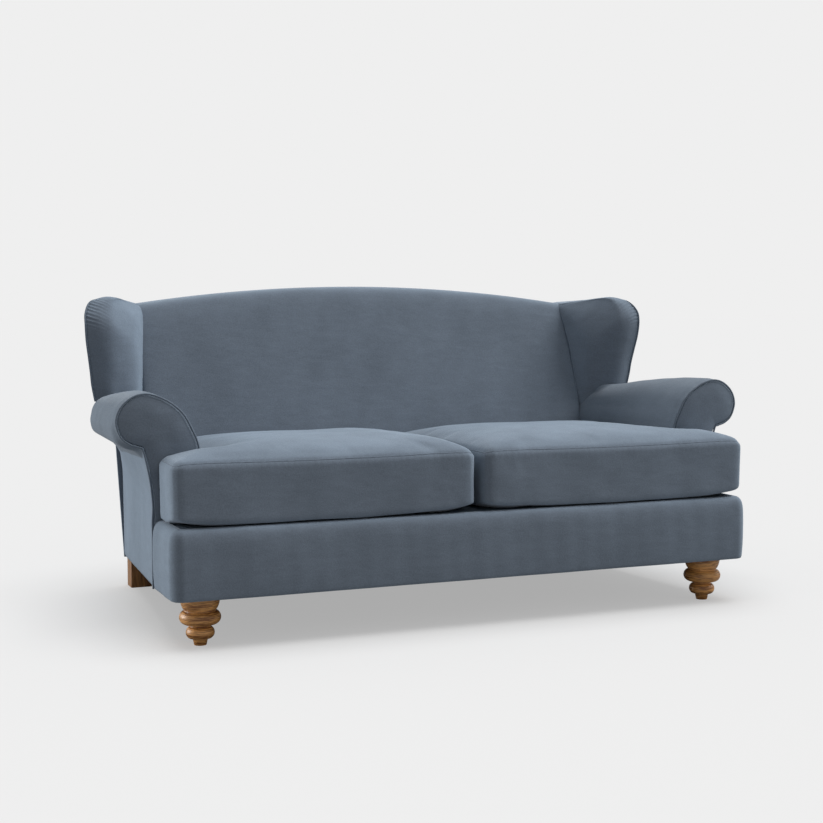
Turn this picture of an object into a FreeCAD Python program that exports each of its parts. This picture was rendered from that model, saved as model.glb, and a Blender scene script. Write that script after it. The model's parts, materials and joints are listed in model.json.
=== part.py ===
"""Two-seat sofa with scroll arms, wings, loose T-shaped cushions and turned front feet.

Millimetres, +Z up. The origin is on the floor under the middle of the bounding box, the seat
faces -Y and +X is the viewer's right. The base is a timber frame: a front box that stands
proud of the arms, side rails that close in towards the rear, raked back posts and a wing
board each side. Upholstery pads close over it, and two cushions lie loose on the deck.
"""
import FreeCAD, Part
import os
Vec = FreeCAD.Vector

# Overall sizes
WIDTH = 1930.0                # across the outer edges of the arm scrolls
DEPTH = 1040.0                # front border to the top of the outside back
HEIGHT = 943.0                # floor to the crown of the back

# Base
FRONT_UNDER = 131.0           # underside of the body at the front, which is the turned foot's height
REAR_UNDER = 92.0             # underside at the rear, which is the rear leg's height
SCROLL_OVERHANG = 96.4        # how far the scroll stands out past the base
REAR_TAPER = 78.6             # how far each side closes in between arm front and rear
ARM_SETBACK = 207.0           # front border back to the arm fronts
BACK_LEAN = 55.0              # how far the outside back leans to the rear over its height
BORDER_CORNER = 34.0          # vertical corners of the front border
BORDER_TOP = 285.0            # upper seam of the front border
DECK_TOP = 318.0              # surface that the cushions lie on
CLEAR = 0.3                   # running clearance between soft pieces of different bodies

# Timber and cloth thicknesses
RAIL = 25.0                   # side, rear and inner rails
FRONT_RAIL = 30.0
RAIL_DEPTH = 110.0            # height of the side rails
POST_DEPTH = 50.0             # back posts, front to back
BRACE_DEPTH = 52.0            # height of the centre brace
PANEL = 8.0                   # outside arm, wing and back panels
COVER = 14.0                  # padding and cover over the front box
CLOTH = 2.0                   # dust cover and webbing
BOARD = 22.0                  # arm fronts and back posts
WING_BOARD = 18.0
WING_BOARD_SET = 60.0         # foot of the wing board behind the padded back face

# Arms
ARM_THICKNESS = 128.6         # inner face to outer face, below the scroll
ARM_TOP = 653.0               # crown of the scroll at the front
ARM_REAR_DROP = 26.0          # how much the crown falls towards the wing
ARM_REAR_NARROWING = 27.0     # how much the scroll draws in towards the wing
SCROLL_RADIUS = 69.5
SCROLL_NECK = 503.0           # underside of the scroll
ARM_PAD_BOTTOM = 300.0
FACING = 12.0                 # arm facing panel, front to back
PIPING = 9.0                  # width of the piped seams
ARM_RAIL_WIDTH = 36.0

# Back and wings
SEAT_REFERENCE = 500.0        # height at which the back thickness is set
BACK_THICKNESS = 240.0        # at that height, from the rearmost point
BACK_RAKE = 0.336             # rise of the inside back towards the rear, per mm of height
BACK_PAD = 70.0
BACK_ARCH = 56.0              # rise of the top edge from the wings to the middle
TOP_PAD = 30.0                # padding over the top rail
TOP_RAIL_DEPTH = 70.0
LOWER_RAIL_DEPTH = 45.0
BACK_STEP = 9.0               # how far the back runs in behind each inside arm
WING_DROP = 33.0              # top of the wings below the crown of the back
WING_FACE = 100.0             # width of the padded wing front
WING_OUT_LOW = 50.0           # wing edge inside the scroll's outer edge, at the arm
WING_OUT_HIGH = 24.0          # the same near the wing's top
WING_SET_LOW = 272.0          # wing edge in front of the rearmost point, at the arm
WING_SET_HIGH = 296.0         # the same near the top
WING_LOW_Z = 608.0            # height at which the wing leaves the arm
WING_SHOULDER = 65.0          # height of the rounded outer shoulder

# Cushions
CUSHION_SEAM = 485.0          # upper front seam
CUSHION_CROWN = 552.0
CUSHION_GAP = 3.0             # between cushions, and to arms and facings
CUSHION_BACK_GAP = 10.0
CUSHION_CORNER = 28.0
ZIP_HEIGHT = 395.0
ZIP_TAPE = 26.0
ZIP_THICKNESS = 2.5
ZIP_LENGTH = 560.0
SLIDER = (14.0, 11.0, 3.2)    # along the zip, up the border, off the tape

# Feet
FOOT_INSET_X = 93.6           # foot centre in from the side of the front border
FOOT_INSET_Y = 92.0           # foot centre back from its front
REAR_LEG = (65.0, 60.0)       # section of the rear legs
REAR_LEG_INSET = 11.0         # in from the side at the rear
BOLT_RADIUS = 4.0
BOLT_CLEARANCE = 0.2
BOLT_IN_FOOT = 38.0
BLOCK_DEPTH = 44.0            # thickness of the corner blocks

# Springs and webbing
SPRING_COUNT = 8
SPRING_WIRE = 2.0             # wire radius
SPRING_BAR = 24.0             # straight part of each bend
SPRING_PITCH = 30.0
SPRING_MARGIN = 100.0         # arm to the first spring
WEB_WIDTH = 50.0
WEB_COUNT = 7

# Lines that follow from the sizes above
FRONT_Y = -DEPTH / 2
ARM_Y = FRONT_Y + ARM_SETBACK
POST_Y = ARM_Y + FACING
REAR_Y = DEPTH / 2 - BACK_LEAN
BASE_HALF = WIDTH / 2 - SCROLL_OVERHANG
REAR_HALF = BASE_HALF - REAR_TAPER
ARM_INNER = BASE_HALF - ARM_THICKNESS
RAIL_TOP = BORDER_TOP - 2 * SPRING_WIRE - 4.0
BRACE_TOP = FRONT_UNDER + CLOTH + BRACE_DEPTH
BACK_EDGE = HEIGHT - BACK_ARCH
WING_TOP = HEIGHT - WING_DROP
FRONT_RAIL_Y = FRONT_Y + COVER + FRONT_RAIL
SEAT_BACK_Y = DEPTH / 2 - BACK_THICKNESS


def side_x(y):
    """Half width of the outside of the base at depth y."""
    return BASE_HALF - REAR_TAPER * max(0.0, y - POST_Y) / (REAR_Y - PANEL - POST_Y)


def under_z(y):
    """Height of the body's underside at depth y."""
    fall = FRONT_UNDER - REAR_UNDER
    return FRONT_UNDER - fall * max(0.0, y - POST_Y) / (REAR_Y - PANEL - POST_Y)


def back_face(z):
    """Depth of the padded front of the back at height z."""
    return SEAT_BACK_Y + BACK_RAKE * (z - SEAT_REFERENCE)


def outside_back(z):
    """Depth of the outer face of the outside back at height z."""
    return REAR_Y + BACK_LEAN * (z - REAR_UNDER) / (HEIGHT - TOP_PAD - REAR_UNDER)


def wing_edge(z):
    """Outer front edge of the wing in plan at height z."""
    high = WING_TOP - WING_SHOULDER
    t = (z - WING_LOW_Z) / (high - WING_LOW_Z)
    x = WIDTH / 2 - WING_OUT_LOW + t * (WING_OUT_LOW - WING_OUT_HIGH)
    y = DEPTH / 2 - WING_SET_LOW - t * (WING_SET_HIGH - WING_SET_LOW)
    return x, y


POST_LOW = under_z(back_face(0.0)) + 2 * CLOTH
POST_OUTER = side_x(back_face(SEAT_REFERENCE / 2) + BACK_PAD + CLOTH + POST_DEPTH) - PANEL - RAIL
BACK_HALF = ARM_INNER + BACK_STEP
POST_INNER = BACK_HALF + CLEAR


# ---- shape helpers ---------------------------------------------------------------------

def box(x0, x1, y0, y1, z0, z1):
    """Rectangular block between opposite corners."""
    return Part.makeBox(x1 - x0, y1 - y0, z1 - z0, Vec(x0, y0, z0))


def polygon(points):
    """Closed wire through points."""
    return Part.makePolygon(list(points) + [points[0]])


def prism_x(profile, x0, x1):
    """Block with a (y, z) profile, from x0 to x1."""
    wire = polygon([Vec(x0, y, z) for y, z in profile])
    return Part.Face(wire).extrude(Vec(x1 - x0, 0, 0))


def prism_y(wire, y0, y1):
    """Block with a closed XZ wire drawn at y = 0, from y0 to y1."""
    face = Part.Face(wire)
    face.translate(Vec(0, y0, 0))
    return face.extrude(Vec(0, y1 - y0, 0))


def plan_block(corners, bottom, top):
    """Block on a plan polygon whose underside and top are heights worked out from y."""
    low = polygon([Vec(x, y, bottom(y)) for x, y in corners])
    high = polygon([Vec(x, y, top(y)) for x, y in corners])
    return Part.makeLoft([low, high], True, True)


def path(start, *steps, place=lambda x, z: Vec(x, 0, z)):
    """Wire of lines and arcs: a step is an end point, or a middle and an end point."""
    edges, here = [], place(*start)
    for step in steps:
        there = place(*step[-1]) if isinstance(step[0], tuple) else place(*step)
        if isinstance(step[0], tuple):
            edges.append(Part.Arc(here, place(*step[0]), there).toShape())
        else:
            edges.append(Part.LineSegment(here, there).toShape())
        here = there
    return Part.Wire(edges)


def mirrored(shape):
    """The same piece for the other side of the sofa."""
    return shape.mirror(Vec(0, 0, 0), Vec(1, 0, 0))


def save(node, *shapes):
    """Write one node."""
    whole = shapes[0] if len(shapes) == 1 else Part.makeCompound(list(shapes))
    whole.exportStep(f"parts/{node}.step")


def save_pair(node, *shapes):
    """Write the right piece and its mirror image."""
    save(f"{node}_right", *shapes)
    save(f"{node}_left", *[mirrored(shape) for shape in shapes])


# ---- feet --------------------------------------------------------------------------------

FRONT_FOOT = (BASE_HALF - FOOT_INSET_X, FRONT_Y + FOOT_INSET_Y)
REAR_FOOT = (REAR_HALF - REAR_LEG_INSET - REAR_LEG[0] / 2, REAR_Y - 2.0 - REAR_LEG[1] / 2)
REAR_BLOCK_Y = REAR_Y - PANEL - RAIL
REAR_BLOCK_X = side_x(REAR_BLOCK_Y) - PANEL - RAIL
REAR_BOLT = (REAR_BLOCK_X - 23.0, REAR_BLOCK_Y - 15.0)


def bolt(at, under):
    """Hanger bolt from the foot up through its corner block."""
    start = Vec(at[0], at[1], under - BOLT_IN_FOOT)
    return Part.makeCylinder(BOLT_RADIUS, BOLT_IN_FOOT + BLOCK_DEPTH + 6.0, start)


def bolt_hole(at, under):
    """Hole that clears the hanger bolt."""
    start = Vec(at[0], at[1], under - BOLT_IN_FOOT - 1.0)
    return Part.makeCylinder(BOLT_RADIUS + BOLT_CLEARANCE, BOLT_IN_FOOT + BLOCK_DEPTH + 10.0, start)


def washer_nut(at, under):
    """Flanged nut on top of the corner block."""
    base = Vec(at[0], at[1], under + BLOCK_DEPTH)
    flange = Part.makeCylinder(12.0, 1.5, base)
    barrel = Part.makeCylinder(7.0, 5.0, base)
    return flange.fuse(barrel).cut(bolt_hole(at, under)).removeSplitter()


def turned_foot():
    """Front foot: pad, bead, neck, bun and collar, turned about its axis."""
    top = FRONT_UNDER
    outline = path(
        (0, 0), (16.3, 0), (19.8, 16), (30.0, 19),
        ((37.8, 33.5), (29.5, 48)), ((26.8, 52), (31.5, 56)),
        ((54.8, 74.5), (43.5, 91)), ((42.2, 94), (45.0, 97)),
        ((50.5, top - 20.0), (52.0, top)), (0, top), (0, 0))
    foot = Part.Face(outline).revolve(Vec(0, 0, 0), Vec(0, 0, 1), 360)
    foot.translate(Vec(*FRONT_FOOT, 0))
    return foot.cut(bolt_hole(FRONT_FOOT, FRONT_UNDER))


def rear_leg():
    """Plain square rear leg."""
    x, y = REAR_FOOT
    half_x, half_y = REAR_LEG[0] / 2, REAR_LEG[1] / 2
    leg = box(x - half_x, x + half_x, y - half_y, y + half_y, 0, REAR_UNDER)
    return leg.makeFillet(3.0, [e for e in leg.Edges if abs(e.Length - REAR_UNDER) < 0.01]) \
        .cut(bolt_hole(REAR_BOLT, REAR_UNDER))


def front_block():
    """Corner block that takes the front foot."""
    x1 = BASE_HALF - COVER - RAIL
    block = box(x1 - 110.0, x1, FRONT_RAIL_Y, FRONT_RAIL_Y + 100.0,
                FRONT_UNDER, FRONT_UNDER + BLOCK_DEPTH)
    return block.cut(bolt_hole(FRONT_FOOT, FRONT_UNDER))


def rear_block():
    """Corner block that takes the rear leg, between the side rail and the rear rail."""
    block = box(REAR_BLOCK_X - 90.0, REAR_BLOCK_X, REAR_BLOCK_Y - 70.0, REAR_BLOCK_Y,
                REAR_UNDER, REAR_UNDER + BLOCK_DEPTH)
    return block.cut(bolt_hole(REAR_BOLT, REAR_UNDER))


def make_feet():
    """Feet, legs, their blocks, bolts and nuts."""
    save_pair("front_foot", turned_foot())
    save_pair("rear_leg", rear_leg())
    save_pair("front_corner_block", front_block())
    save_pair("rear_corner_block", rear_block())
    stations = ((FRONT_FOOT, FRONT_UNDER), (REAR_BOLT, REAR_UNDER))
    bolts = [bolt(at, under) for at, under in stations]
    nuts = [washer_nut(at, under) for at, under in stations]
    save("hanger_bolts", *bolts, *map(mirrored, bolts))
    save("flange_nuts", *nuts, *map(mirrored, nuts))


# ---- base frame --------------------------------------------------------------------------

def rail_under(y):
    """Underside of the rails, above the dust cover."""
    return under_z(y) + CLOTH


def side_rail():
    """Side rail from the arm front to the rear rail, following the taper."""
    y0, y1 = POST_Y + BOARD, REAR_Y - PANEL - RAIL
    outer = [(side_x(y) - PANEL, y) for y in (y0, y1)]
    inner = [(x - RAIL, y) for x, y in reversed(outer)]
    return plan_block(outer + inner, rail_under, lambda y: rail_under(y) + RAIL_DEPTH)


def rear_rail():
    """Rear rail across the full width."""
    half, y1 = REAR_HALF - PANEL, REAR_Y - PANEL
    return box(-half, half, y1 - RAIL, y1, REAR_UNDER, RAIL_TOP)


def seat_back_rail():
    """Inner rail that carries the rear ends of the seat springs."""
    y0 = back_face(RAIL_TOP) + BACK_PAD + CLOTH + POST_DEPTH / 2
    return box(-POST_INNER, POST_INNER, y0, y0 + RAIL, BRACE_TOP, RAIL_TOP), y0


def make_base_frame():
    """Rails of the base and the front box."""
    inner = BASE_HALF - COVER - RAIL
    low = FRONT_UNDER + CLOTH
    save("front_seat_rail", box(-inner, inner, FRONT_Y + COVER, FRONT_RAIL_Y, low, RAIL_TOP))
    save_pair("front_return_rail",
              box(inner, inner + RAIL, FRONT_Y + COVER, POST_Y, low, RAIL_TOP))
    save_pair("side_rail", side_rail())
    save("rear_rail", rear_rail())
    save("seat_back_rail", seat_back_rail()[0])
    save("centre_brace", box(-RAIL / 2, RAIL / 2, FRONT_RAIL_Y, REAR_Y - PANEL - RAIL,
                             BRACE_TOP - BRACE_DEPTH, BRACE_TOP))


# ---- back frame --------------------------------------------------------------------------

def raked(z0, z1, near, far):
    """(y, z) profile of a piece that lies between two depths behind the padded face."""
    return [(back_face(z0) + near, z0), (back_face(z1) + near, z1),
            (back_face(z1) + far, z1), (back_face(z0) + far, z0)]


def arch_block(drop):
    """Everything under an arch that lies `drop` below the top edge of the back."""
    half, low = BACK_HALF, -10.0
    chord, rise = BACK_HALF, BACK_ARCH
    radius = (chord ** 2 + rise ** 2) / (2 * rise) - drop
    crown, centre = HEIGHT - drop, HEIGHT - drop - radius
    edge = centre + (radius ** 2 - half ** 2) ** 0.5
    wire = path((-half, low), (half, low), (half, edge), ((0, crown), (-half, edge)), (-half, low))
    return prism_y(wire, FRONT_Y, DEPTH / 2 + 50.0)


def back_posts():
    """Raked post beside the wing, and the half width post in the middle."""
    near = BACK_PAD + CLOTH
    top = BACK_EDGE - TOP_PAD - 6.0
    depth = outside_back(top) - PANEL - back_face(top) - near - 1.0
    low = POST_LOW
    profile = [(back_face(low) + near, low), (back_face(top) + near, top),
               (back_face(top) + near + min(depth, POST_DEPTH), top),
               (back_face(low) + near + POST_DEPTH, low)]
    centre = raked(DECK_TOP + LOWER_RAIL_DEPTH, BACK_EDGE, near + CLOTH, near + RAIL)
    return prism_x(profile, POST_INNER, POST_OUTER), prism_x(centre, -BOARD, BOARD)


def top_rail():
    """Arched top rail between the posts."""
    near = BACK_PAD + CLOTH
    low = BACK_EDGE - 2 * TOP_RAIL_DEPTH
    profile = [(back_face(low) + near, low), (back_face(HEIGHT) + near, HEIGHT),
               (outside_back(HEIGHT) - PANEL - 1.0, HEIGHT), (back_face(low) + near + 30.0, low)]
    band = arch_block(TOP_PAD + CLEAR).cut(arch_block(TOP_PAD + TOP_RAIL_DEPTH))
    return prism_x(profile, -BACK_HALF, BACK_HALF).common(band)


def lower_back_rail():
    """Rail behind the foot of the inside back."""
    near = BACK_PAD + CLOTH
    profile = raked(DECK_TOP, DECK_TOP + LOWER_RAIL_DEPTH, near, near + RAIL)
    return prism_x(profile, -BACK_HALF, BACK_HALF)


def wing_board():
    """Board inside the wing, against the post."""
    top = WING_TOP - 60.0
    low = ARM_PAD_BOTTOM
    profile = [(back_face(low) + WING_BOARD_SET, low), (back_face(top) + 20.0, top),
               (outside_back(top) - PANEL - 6.0, top), (outside_back(low) - PANEL - 60.0, low)]
    return prism_x(profile, POST_OUTER, POST_OUTER + WING_BOARD)


def webbing():
    """Upright and cross straps behind the inside back."""
    top = BACK_EDGE - TOP_PAD - TOP_RAIL_DEPTH / 2
    upright = raked(DECK_TOP + 10.0, top, BACK_PAD, BACK_PAD + CLOTH)
    step = 2 * (BACK_HALF - WEB_WIDTH) / (WEB_COUNT + 1)
    places = [-BACK_HALF + WEB_WIDTH + step * (i + 1) for i in range(WEB_COUNT)]
    straps = [prism_x(upright, x - WEB_WIDTH / 2, x + WEB_WIDTH / 2) for x in places]
    span = BACK_EDGE - TOP_PAD - TOP_RAIL_DEPTH - DECK_TOP - LOWER_RAIL_DEPTH
    for i in (1, 2, 3):
        z = DECK_TOP + LOWER_RAIL_DEPTH + span * i / 4
        cross = raked(z - WEB_WIDTH / 2, z + WEB_WIDTH / 2, BACK_PAD + CLOTH, BACK_PAD + 2 * CLOTH)
        straps.append(prism_x(cross, -BACK_HALF, BACK_HALF))
    return straps


def make_back_frame():
    """Posts, rails, wing boards and webbing of the back."""
    side, centre = back_posts()
    save_pair("back_post", side)
    save("centre_post", centre.common(arch_block(TOP_PAD + TOP_RAIL_DEPTH + CLEAR)))
    save("top_rail", top_rail())
    save("lower_back_rail", lower_back_rail())
    save_pair("wing_board", wing_board())
    save("back_webbing", *webbing())


# ---- arms --------------------------------------------------------------------------------

def scroll_points(outer, crown, neck):
    """Points of the scroll, from the top of the inside arm round to the neck under it."""
    shrink = (crown - SCROLL_NECK) / (ARM_TOP - SCROLL_NECK)
    radius = SCROLL_RADIUS * shrink
    centre_x, centre_z = outer - radius, crown - radius
    bottom = (centre_x + 0.29 * radius, centre_z - 0.957 * radius)
    rise = crown - SCROLL_NECK
    return {
        "crown": (centre_x - 0.087 * radius, crown),
        "outer": (outer, centre_z),
        "under": bottom,
        "inner": (ARM_INNER + 0.4 * (centre_x - ARM_INNER), SCROLL_NECK + 0.79 * rise),
        "neck": (neck, SCROLL_NECK),
    }


def arm_pad_wire(y, outer, crown, neck):
    """Section of the arm pad: inside arm and scroll, closed over the arm rail."""
    p = scroll_points(outer, crown, neck)
    return path(
        (ARM_INNER, ARM_PAD_BOTTOM), (ARM_INNER, SCROLL_NECK - 3.0), (p["inner"], p["crown"]),
        (p["outer"], p["under"]), p["neck"], (POST_OUTER, SCROLL_NECK),
        (POST_OUTER, ARM_PAD_BOTTOM), (ARM_INNER, ARM_PAD_BOTTOM), place=lambda x, z: Vec(x, y, z))


NECK_FRONT = BASE_HALF + 25.4
ARM_REAR_Y = wing_edge(ARM_TOP - ARM_REAR_DROP)[1] - CLEAR


def arm_front_face(inset):
    """Whole arm front outline, drawn at y = 0, taken in by inset."""
    p = scroll_points(WIDTH / 2, ARM_TOP, NECK_FRONT)
    low = FRONT_UNDER
    wire = path(
        (ARM_INNER, low), (ARM_INNER, SCROLL_NECK - 3.0), (p["inner"], p["crown"]),
        (p["outer"], p["under"]), p["neck"],
        ((BASE_HALF + 8.0, SCROLL_NECK - 73.0), (BASE_HALF, SCROLL_NECK - 160.0)),
        (BASE_HALF, low), (ARM_INNER, low))
    face = Part.Face(wire)
    return face.makeOffset2D(-inset) if inset else face


def extrude_front(face, y0, y1):
    """Block from an arm front face."""
    moved = face.copy()
    moved.translate(Vec(0, y0, 0))
    return moved.extrude(Vec(0, y1 - y0, 0))


def arm_post():
    """Scroll-shaped board that closes the arm at the front."""
    return extrude_front(arm_front_face(COVER), POST_Y, POST_Y + BOARD)


def arm_pad():
    """Inside arm and scroll."""
    front = arm_pad_wire(POST_Y, WIDTH / 2, ARM_TOP, NECK_FRONT)
    rear = arm_pad_wire(ARM_REAR_Y, WIDTH / 2 - ARM_REAR_NARROWING, ARM_TOP - ARM_REAR_DROP,
                        side_x(ARM_REAR_Y) + 18.0)
    behind = prism_x(raked(ARM_PAD_BOTTOM - 5.0, SCROLL_NECK, 0.0, BACK_PAD), 0.0, BACK_HALF)
    return Part.makeLoft([front, rear], True, True).cut(arm_post()).cut(behind)


def arm_facing():
    """Padded panel on the arm front, above the front border."""
    panel = extrude_front(arm_front_face(PIPING), ARM_Y, POST_Y)
    below = box(0, WIDTH, ARM_Y - 1.0, POST_Y + 1.0, 0, BORDER_TOP)
    return panel.cut(below)


def facing_piping():
    """Piped edge round the facing, down to the underside on the outer side."""
    ring = arm_front_face(0).cut(arm_front_face(PIPING))
    ring = extrude_front(ring.Faces[0], ARM_Y, POST_Y)
    inside = box(0, BASE_HALF - PIPING, ARM_Y - 1.0, POST_Y + 1.0, 0, BORDER_TOP)
    return ring.cut(inside)


def outside_arm():
    """Flat panel under the scroll, from the arm front to the outside back."""
    def wire(y, low, foot, knee, top, offset):
        middle = ((foot + 0.55 * (top - foot)) - 0.22 * (top - foot), SCROLL_NECK - 73.0)
        outer = [(foot, low), (knee, SCROLL_NECK - 160.0), (middle, (top, SCROLL_NECK))]
        return path(outer[0], outer[1], outer[2],
                    (top - PANEL, SCROLL_NECK),
                    ((middle[0] - PANEL, middle[1]), (knee - PANEL, SCROLL_NECK - 160.0)),
                    (foot - PANEL, low), outer[0],
                    place=lambda x, z: Vec(x, y(z) + offset, z))
    rear_foot = REAR_HALF
    front = wire(lambda z: POST_Y, FRONT_UNDER, BASE_HALF, BASE_HALF, NECK_FRONT, 0.0)
    rear = wire(outside_back, REAR_UNDER, rear_foot, rear_foot + 10.0, rear_foot + 22.0, -PANEL)
    return Part.makeLoft([front, rear], True, True)


def make_arms():
    """Arm boards, rails, pads, facings, piping and outside panels."""
    save_pair("arm_post", arm_post())
    inner, y0 = POST_OUTER, POST_Y + BOARD
    rail_y = back_face(SCROLL_NECK - RAIL) + WING_BOARD_SET - CLEAR
    tack_y = back_face(ARM_PAD_BOTTOM) + WING_BOARD_SET - CLEAR
    rail_plan = [(inner, y0), (inner + ARM_RAIL_WIDTH, y0),
                 (side_x(rail_y) - PANEL, rail_y), (inner, rail_y)]
    rail = plan_block(rail_plan, lambda y: SCROLL_NECK - RAIL, lambda y: SCROLL_NECK)
    save_pair("arm_rail", rail.cut(wing_board()))
    save_pair("arm_tack_rail", box(inner, inner + BOARD, y0, tack_y,
                                   ARM_PAD_BOTTOM, ARM_PAD_BOTTOM + 50.0))
    save_pair("arm_pad", arm_pad())
    save_pair("arm_facing", arm_facing())
    save_pair("facing_piping", facing_piping())
    save_pair("outside_arm", outside_arm())


# ---- back and wing upholstery ------------------------------------------------------------

def inside_back():
    """Padded back that folds over the arched top rail."""
    low, high = DECK_TOP, HEIGHT + 5.0
    outer = [(back_face(low), low), (back_face(high), high),
             (outside_back(high) - PANEL, high), (outside_back(low) - PANEL, low)]
    cavity = [(back_face(low - 5.0) + BACK_PAD, low - 5.0), (back_face(high) + BACK_PAD, high),
              (outside_back(high) + 50.0, high), (outside_back(low) + 50.0, low - 5.0)]
    whole = prism_x(outer, -BACK_HALF, BACK_HALF).common(arch_block(0.0))
    pad = whole.cut(prism_x(cavity, -BACK_HALF - 1.0, BACK_HALF + 1.0).common(wide_arch(TOP_PAD)))
    front_edge = [e for e in pad.Edges if is_top_edge(e, back_face)]
    return pad.makeFillet(TOP_PAD - 4.0, front_edge)


def wide_arch(drop):
    """Cutter under the arch, a little wider than the back."""
    radius = (BACK_HALF ** 2 + BACK_ARCH ** 2) / (2 * BACK_ARCH) - drop
    half = BACK_HALF + 1.0
    crown, centre = HEIGHT - drop, HEIGHT - drop - radius
    edge = centre + (radius ** 2 - half ** 2) ** 0.5
    wire = path((-half, 0), (half, 0), (half, edge), ((0, crown), (-half, edge)), (-half, 0))
    return prism_y(wire, FRONT_Y, DEPTH / 2 + 60.0)


def is_top_edge(edge, depth_at):
    """Whether an edge runs along the arch at the given depth."""
    points = [edge.valueAt(edge.FirstParameter + t * (edge.LastParameter - edge.FirstParameter))
              for t in (0.0, 0.5, 1.0)]
    near = all(abs(p.y - depth_at(p.z)) < 0.5 for p in points)
    return near and min(p.z for p in points) > BACK_EDGE - 1.0 and edge.Length > BACK_HALF


def wing_rear(z):
    """Outer rear corner of the wing in plan at height z."""
    low = REAR_HALF + 22.0
    return low + 0.04 * (z - SCROLL_NECK), outside_back(z) - PANEL


def wing_silhouette():
    """Front outline of the wing: rounded outer shoulder, then down to the back."""
    x_out = WIDTH / 2
    shoulder = WING_TOP - WING_SHOULDER
    peak = WIDTH / 2 - SCROLL_OVERHANG
    edge = wing_edge(shoulder)[0]
    wire = path((BACK_HALF - 5.0, SCROLL_NECK - 1.0), (BACK_HALF - 5.0, BACK_EDGE),
                (peak - 20.0, WING_TOP), ((edge - 16.0, WING_TOP - 17.0), (edge, shoulder)),
                (x_out, shoulder - 20.0), (x_out, SCROLL_NECK - 1.0),
                (BACK_HALF - 5.0, SCROLL_NECK - 1.0))
    return prism_y(wire, 0, DEPTH / 2 + 50.0)


def wing_pads():
    """Wing pad and the panel outside it."""
    low, high = SCROLL_NECK, WING_TOP + 10.0
    inner = BACK_HALF + CLEAR

    def pad_wire(z):
        (fx, fy), (rx, ry) = wing_edge(z), wing_rear(z)
        corners = [(inner, back_face(z)), (fx - WING_FACE, fy), (fx - PANEL, fy),
                   (rx - PANEL, ry), (inner, ry)]
        return polygon([Vec(x, y, z) for x, y in corners])

    def panel_wire(z):
        (fx, fy), (rx, ry) = wing_edge(z), wing_rear(z)
        corners = [(fx - PANEL, fy), (fx, fy), (rx, ry), (rx - PANEL, ry)]
        return polygon([Vec(x, y, z) for x, y in corners])

    outline = wing_silhouette()
    pad = Part.makeLoft([pad_wire(low), pad_wire(high)], True, True).common(outline)
    panel = Part.makeLoft([panel_wire(low), panel_wire(high)], True, True).common(outline)
    return pad.cut(back_posts()[0]).cut(wing_board()), panel


def wing_piping():
    """Piped seam up the outer front edge of the wing."""
    low, high = ARM_TOP - ARM_REAR_DROP + 4.0, WING_TOP - WING_SHOULDER
    (x0, y0), (x1, y1) = wing_edge(low), wing_edge(high)
    half = PIPING / 2

    def square(x, y, z):
        return polygon([Vec(x - half, y - PIPING, z), Vec(x + half, y - PIPING, z),
                        Vec(x + half, y, z), Vec(x - half, y, z)])
    return Part.makeLoft([square(x0 - half, y0, low), square(x1 - half, y1, high)], True, True)


def back_panel():
    """Outside back, between the outside arms and wings."""
    rear = REAR_HALF
    top = BACK_EDGE - TOP_PAD
    x_neck, x_top = rear + 22.0, rear + 22.0 + 0.04 * (top - SCROLL_NECK)

    def wire(offset):
        return path((-rear, REAR_UNDER), (rear, REAR_UNDER), (rear + 10.0, SCROLL_NECK - 160.0),
                    (x_neck, SCROLL_NECK), (x_top, top), ((0, top + BACK_ARCH), (-x_top, top)),
                    (-x_neck, SCROLL_NECK), (-rear - 10.0, SCROLL_NECK - 160.0),
                    (-rear, REAR_UNDER), place=lambda x, z: Vec(x, outside_back(z) + offset, z))
    return Part.makeLoft([wire(-PANEL), wire(0.0)], True, True)


def make_back_upholstery():
    """Inside back, wings, their piping and the outside back."""
    save("inside_back", inside_back())
    pad, panel = wing_pads()
    save_pair("wing_pad", pad)
    save_pair("outside_wing", panel)
    save_pair("wing_piping", wing_piping())
    save("outside_back", back_panel())


# ---- seat base ---------------------------------------------------------------------------

def rounded_plan(x0, x1, y0, y1, z0, z1, radius):
    """Block whose two front vertical edges are rounded."""
    block = box(x0, x1, y0, y1, z0, z1)
    front = [e for e in block.Edges
             if abs(e.Length - (z1 - z0)) < 0.01 and abs(e.BoundBox.YMin - y0) < 0.01
             and abs(e.BoundBox.ZLength - (z1 - z0)) < 0.01]
    return block.makeFillet(radius, front)


def front_border():
    """Padded cover round the front box."""
    outer = rounded_plan(-BASE_HALF, BASE_HALF, FRONT_Y, ARM_Y,
                         FRONT_UNDER, BORDER_TOP, BORDER_CORNER)
    inner = BASE_HALF - COVER
    hollow = box(-inner, inner, FRONT_Y + COVER, ARM_Y + 1.0, FRONT_UNDER - 1.0, BORDER_TOP + 1.0)
    return outer.cut(hollow)


def border_lip():
    """Padded top of the front box, crowned towards the deck."""
    block = rounded_plan(-BASE_HALF, BASE_HALF, FRONT_Y, ARM_Y,
                         BORDER_TOP, DECK_TOP, BORDER_CORNER)
    crown = FRONT_Y + 80.0
    wire = Part.Wire([
        Part.LineSegment(Vec(0, FRONT_Y, BORDER_TOP), Vec(0, FRONT_Y, BORDER_TOP + 6.0)).toShape(),
        Part.Arc(Vec(0, FRONT_Y, BORDER_TOP + 6.0), Vec(0, FRONT_Y + 26.0, DECK_TOP - 9.0),
                 Vec(0, crown, DECK_TOP)).toShape(),
        Part.LineSegment(Vec(0, crown, DECK_TOP), Vec(0, ARM_Y, DECK_TOP)).toShape(),
        Part.LineSegment(Vec(0, ARM_Y, DECK_TOP), Vec(0, ARM_Y, BORDER_TOP)).toShape(),
        Part.LineSegment(Vec(0, ARM_Y, BORDER_TOP), Vec(0, FRONT_Y, BORDER_TOP)).toShape()])
    wire.translate(Vec(-WIDTH / 2, 0, 0))
    return block.common(Part.Face(wire).extrude(Vec(WIDTH, 0, 0)))


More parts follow.
